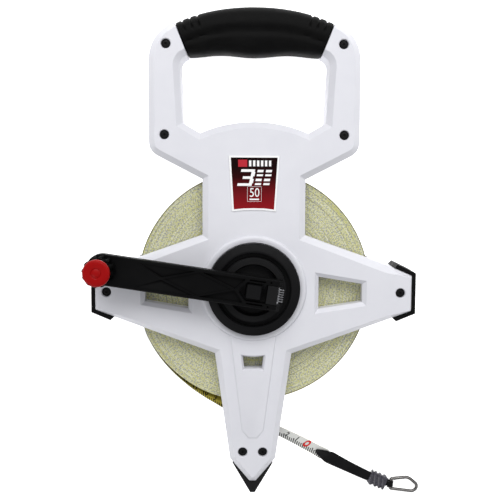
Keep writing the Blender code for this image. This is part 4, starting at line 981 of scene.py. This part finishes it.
def make_block_three(shape):
    """Wide slanted numeral 3 drawn with straight strokes."""
    low, high, left, right = 84.8, 98.3, -13.9, -1.2
    stroke, lean = 2.1, 0.22
    middle = (low + high) / 2.0

    def slanted(x, y):
        return (x + lean * (y - low), y)

    def block(x0, y0, x1, y1):
        shape([slanted(x0, y0), slanted(x1, y0), slanted(x1, y1), slanted(x0, y1)])

    edge = right - 0.9
    block(left + 0.6, high - stroke, edge, high)
    block(left + 3.2, middle - stroke / 2.0, edge - 0.4, middle + stroke / 2.0)
    block(left, low, edge, low + stroke)
    block(edge - 2.5, low + stroke, edge + 0.6, middle - stroke / 2.0)
    block(edge - 2.5, middle + stroke / 2.0, edge + 0.6, high - stroke)


# ---------------------------------------------------------------- scene

def make_camera():
    data = bpy.data.cameras.new("view_camera")
    data.sensor_fit = "HORIZONTAL"
    data.angle = math.radians(CAMERA_ANGLE)
    data.clip_end = 10.0
    camera = bpy.data.objects.new("view_camera", data)
    camera.location = Vector(CAMERA_PLACE) * MM
    camera.rotation_euler = Euler([math.radians(turn) for turn in CAMERA_TURN])
    bpy.context.collection.objects.link(camera)
    bpy.context.scene.camera = camera


def add_light(name, place, aim, size, power, colour=(1.0, 1.0, 1.0)):
    data = bpy.data.lights.new(name, "AREA")
    data.shape = "RECTANGLE"
    data.size, data.size_y = size
    data.energy = power
    data.color = colour
    lamp = bpy.data.objects.new(name, data)
    lamp.location = place
    lamp.rotation_euler = (Vector(aim) - Vector(place)).to_track_quat("-Z", "Y").to_euler()
    bpy.context.collection.objects.link(lamp)


def make_studio():
    scene = bpy.context.scene
    scene.view_settings.view_transform = "Standard"
    world = bpy.data.worlds.new("studio")
    world.use_nodes = True
    tree = world.node_tree
    background = tree.nodes["Background"]
    background.inputs["Strength"].default_value = 0.5
    split = tree.nodes.new("ShaderNodeSeparateXYZ")
    tree.links.new(tree.nodes.new("ShaderNodeTexCoord").outputs["Generated"], split.inputs[0])
    sky = tree.nodes.new("ShaderNodeValToRGB")
    for element, (position, shade) in zip(sky.color_ramp.elements, ((0.05, 0.45), (0.55, 1.0))):
        element.position = position
        element.color = (0.97 * shade, 0.98 * shade, shade, 1.0)
    tree.links.new(split.outputs["Z"], sky.inputs["Fac"])
    tree.links.new(sky.outputs["Color"], background.inputs["Color"])
    scene.world = world
    add_light("top_softbox", (0.0, 1.05, 1.0), (0.0, 0.05, 0.0), (1.5, 0.8), 14.6)
    add_light("side_softbox", (0.9, 0.5, 1.0), (0.0, 0.0, 0.0), (0.7, 1.0), 2.6)
    add_light("low_softbox", (-0.75, -0.8, 0.9), (-0.03, -0.1, 0.0), (1.0, 0.8), 3.0)

    nodes = Nodes("pale_floor")
    cloud = nodes.noise(220.0)
    nodes.set(Base_Color=nodes.ramp(cloud, ((0.3, (0.93, 0.93, 0.93)), (0.7, (0.95, 0.95, 0.95)))),
              Roughness=nodes.spread(cloud, 0.8, 0.9))
    nodes.set(Emission_Color=nodes.mix(0.5, (1.0, 1.0, 1.0), (1.0, 1.0, 1.0)))
    nodes.shader.inputs["Emission Strength"].default_value = 0.8
    bm = bmesh.new()
    bmesh.ops.create_grid(bm, x_segments=1, y_segments=1, size=6.0)
    mesh = bpy.data.meshes.new("floor")
    bm.to_mesh(mesh)
    bm.free()
    mesh.materials.append(nodes.material)
    floor = bpy.data.objects.new("floor", mesh)
    floor.location.z = -0.0005
    bpy.context.collection.objects.link(floor)


def make_end_of_tape(looks):
    """The cord: tape, strap, clamp and ring."""
    tape, ribbon = make_tape((looks["tape_white"], looks["tape_yellow"], looks["tape_white"]))
    numerals = make_numerals(ribbon, looks["black_ink"])
    mark = make_zero_mark(ribbon, looks["red_ink"])
    strap = make_strap(looks["strap"])
    clamp = make_clamp((looks["clamp"], looks["clamp_groove_shade"]))
    ring, gate, pins = make_ring(looks["hook"], looks["dark_steel"])
    dress("strap_loop", looks["strap"], 0.1)
    ribbon.centreline()[0]
    ribbon.centreline()


def main():
    make_camera()
    looks = {
        "white": moulded("white_abs_shell", (0.70, 0.70, 0.745), (0.735, 0.735, 0.775),
                         rough=(0.38, 0.52), coat=0.05),
        "black": moulded("black_nylon_part", (0.0028, 0.0028, 0.003), (0.005, 0.005, 0.0052),
                         rough=(0.42, 0.58), depth=0.02, gloss=0.05),
        "knob": moulded("black_knob", (0.0018, 0.0019, 0.0019), (0.003, 0.0032, 0.0032),
                        rough=(0.65, 0.75), depth=0.02, gloss=0.008),
        "hub": moulded("black_hub", (0.0045, 0.0045, 0.005), (0.007, 0.007, 0.0075),
                       rough=(0.42, 0.56), depth=0.02, gloss=0.09),
        "grip": rubber("grip_rubber", (0.0026, 0.0026, 0.0026), (0.0048, 0.0048, 0.0048), gloss=0.06),
        "shoe": rubber("shoe_rubber", (0.003, 0.003, 0.003), (0.0055, 0.0055, 0.0055), gloss=0.09),
        "spike": rubber("spike_rubber", (0.009, 0.009, 0.009), (0.014, 0.014, 0.014), gloss=0.15),
        "disc": moulded("black_disc", (0.007, 0.007, 0.0075), (0.010, 0.010, 0.0105),
                        rough=(0.42, 0.56), depth=0.02, gloss=0.12),
        "strap": moulded("strap_vinyl", (0.003, 0.003, 0.0035), (0.006, 0.006, 0.0065),
                         rough=(0.3, 0.45), grain=0.5, depth=0.03, gloss=0.15),
        "red": moulded("red_cap", (0.285, 0.002, 0.0025), (0.34, 0.003, 0.003), rough=(0.3, 0.42),
                       gloss=0.10),
        "screw": moulded("black_screw_head", (0.004, 0.004, 0.0042), (0.007, 0.007, 0.0072),
                         rough=(0.4, 0.55), depth=0.01, gloss=0.15),
        "natural": moulded("natural_acetal_gear", (0.62, 0.60, 0.54), (0.68, 0.66, 0.6)),
        "steel": steel("bright_wire", (0.66, 0.66, 0.68)),
        # Hook wire: painted light along its top, painted shade down its flanks.
        "hook": wire_steel("hook_wire", (0.26, 0.25, 0.24), (0.012, 0.011, 0.011)),
        "coil_spring": steel("spring_wire", (0.20, 0.20, 0.21)),
        "dark_steel": steel("black_oxide_screw", (0.035, 0.035, 0.037), rough=(0.3, 0.45)),
        "coil": coil_edges(),
        "tape_white": tape_print("white_tape_face", (0.86, 0.86, 0.81), (0.90, 0.90, 0.86), 5.2,
                                 False),
        "tape_yellow": tape_print("yellow_tape_face", (0.58, 0.49, 0.075), (0.64, 0.55, 0.10), 2.9,
                                  True),
        "black_ink": ink("black_print", (0.02, 0.018, 0.016)),
        "red_ink": ink("red_print", (0.80, 0.012, 0.010)),
        "white_ink": ink("white_print", (0.95, 0.95, 0.95)),
        "patch_ink": ink("patch_print", (0.48, 0.02, 0.035)),
        "clamp": smoky("smoky_clamp", (0.165, 0.155, 0.20), (0.26, 0.25, 0.31)),
        # Painted shade: a darker copy of the smoky plastic for the grooves of the clamp.
        "clamp_groove_shade": smoky("smoky_groove_shade", (0.03, 0.028, 0.038), (0.06, 0.056, 0.075)),
        "label": label_paint(),
    }
    make_end_of_tape(looks)
    softened_copy("front_frame", "front_shell", "frame", looks["white"], 0.45)
    softened_copy("rear_frame", "rear_shell", "frame", looks["white"], 0.45)
    make_collar(looks["white"])
    make_grip("grip_skin_front", "grip_front", 1.0, looks["grip"])
    make_grip("grip_skin_rear", "grip_rear", -1.0, looks["grip"])
    make_coil(looks["coil"])
    make_loose_turns(looks["coil"])
    make_bezel(looks["hub"])
    make_screws(looks["screw"])
    make_knob(looks["red"], looks["knob"])
    make_springs(looks["coil_spring"])
    make_label(looks["label"], looks["white_ink"], looks["patch_ink"])
    dress("crank_arm", looks["black"], 0.25)
    dress("crank_disc", looks["disc"], 0.25)
    dress("lock_button", looks["hub"], 0.2)
    dress("spool_drum", looks["black"], 0.2)
    for node in ("bumper_left", "bumper_right"):
        dress(node, looks["shoe"], 0.5)
    dress("ground_spike", looks["spike"], 0.4)
    for node in ("spool_bush", "sun_gear", "ring_gear", "planet_gear_1", "planet_gear_2",
                 "planet_gear_3"):
        dress(node, looks["natural"])
    for node in ("axle", "axle_clip", "thrust_washer", "hinge_pin", "planet_pin_1",
                 "planet_pin_2", "planet_pin_3", "button_spring", "knob_pin"):
        dress(node, looks["steel"])
    make_studio()


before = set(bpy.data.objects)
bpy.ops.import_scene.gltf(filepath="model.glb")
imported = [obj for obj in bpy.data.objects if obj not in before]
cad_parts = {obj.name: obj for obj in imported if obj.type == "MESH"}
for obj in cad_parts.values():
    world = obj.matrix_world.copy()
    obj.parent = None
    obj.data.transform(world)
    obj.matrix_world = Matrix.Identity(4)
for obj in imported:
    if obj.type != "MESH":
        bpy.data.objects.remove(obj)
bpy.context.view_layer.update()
main()
bpy.context.view_layer.update()
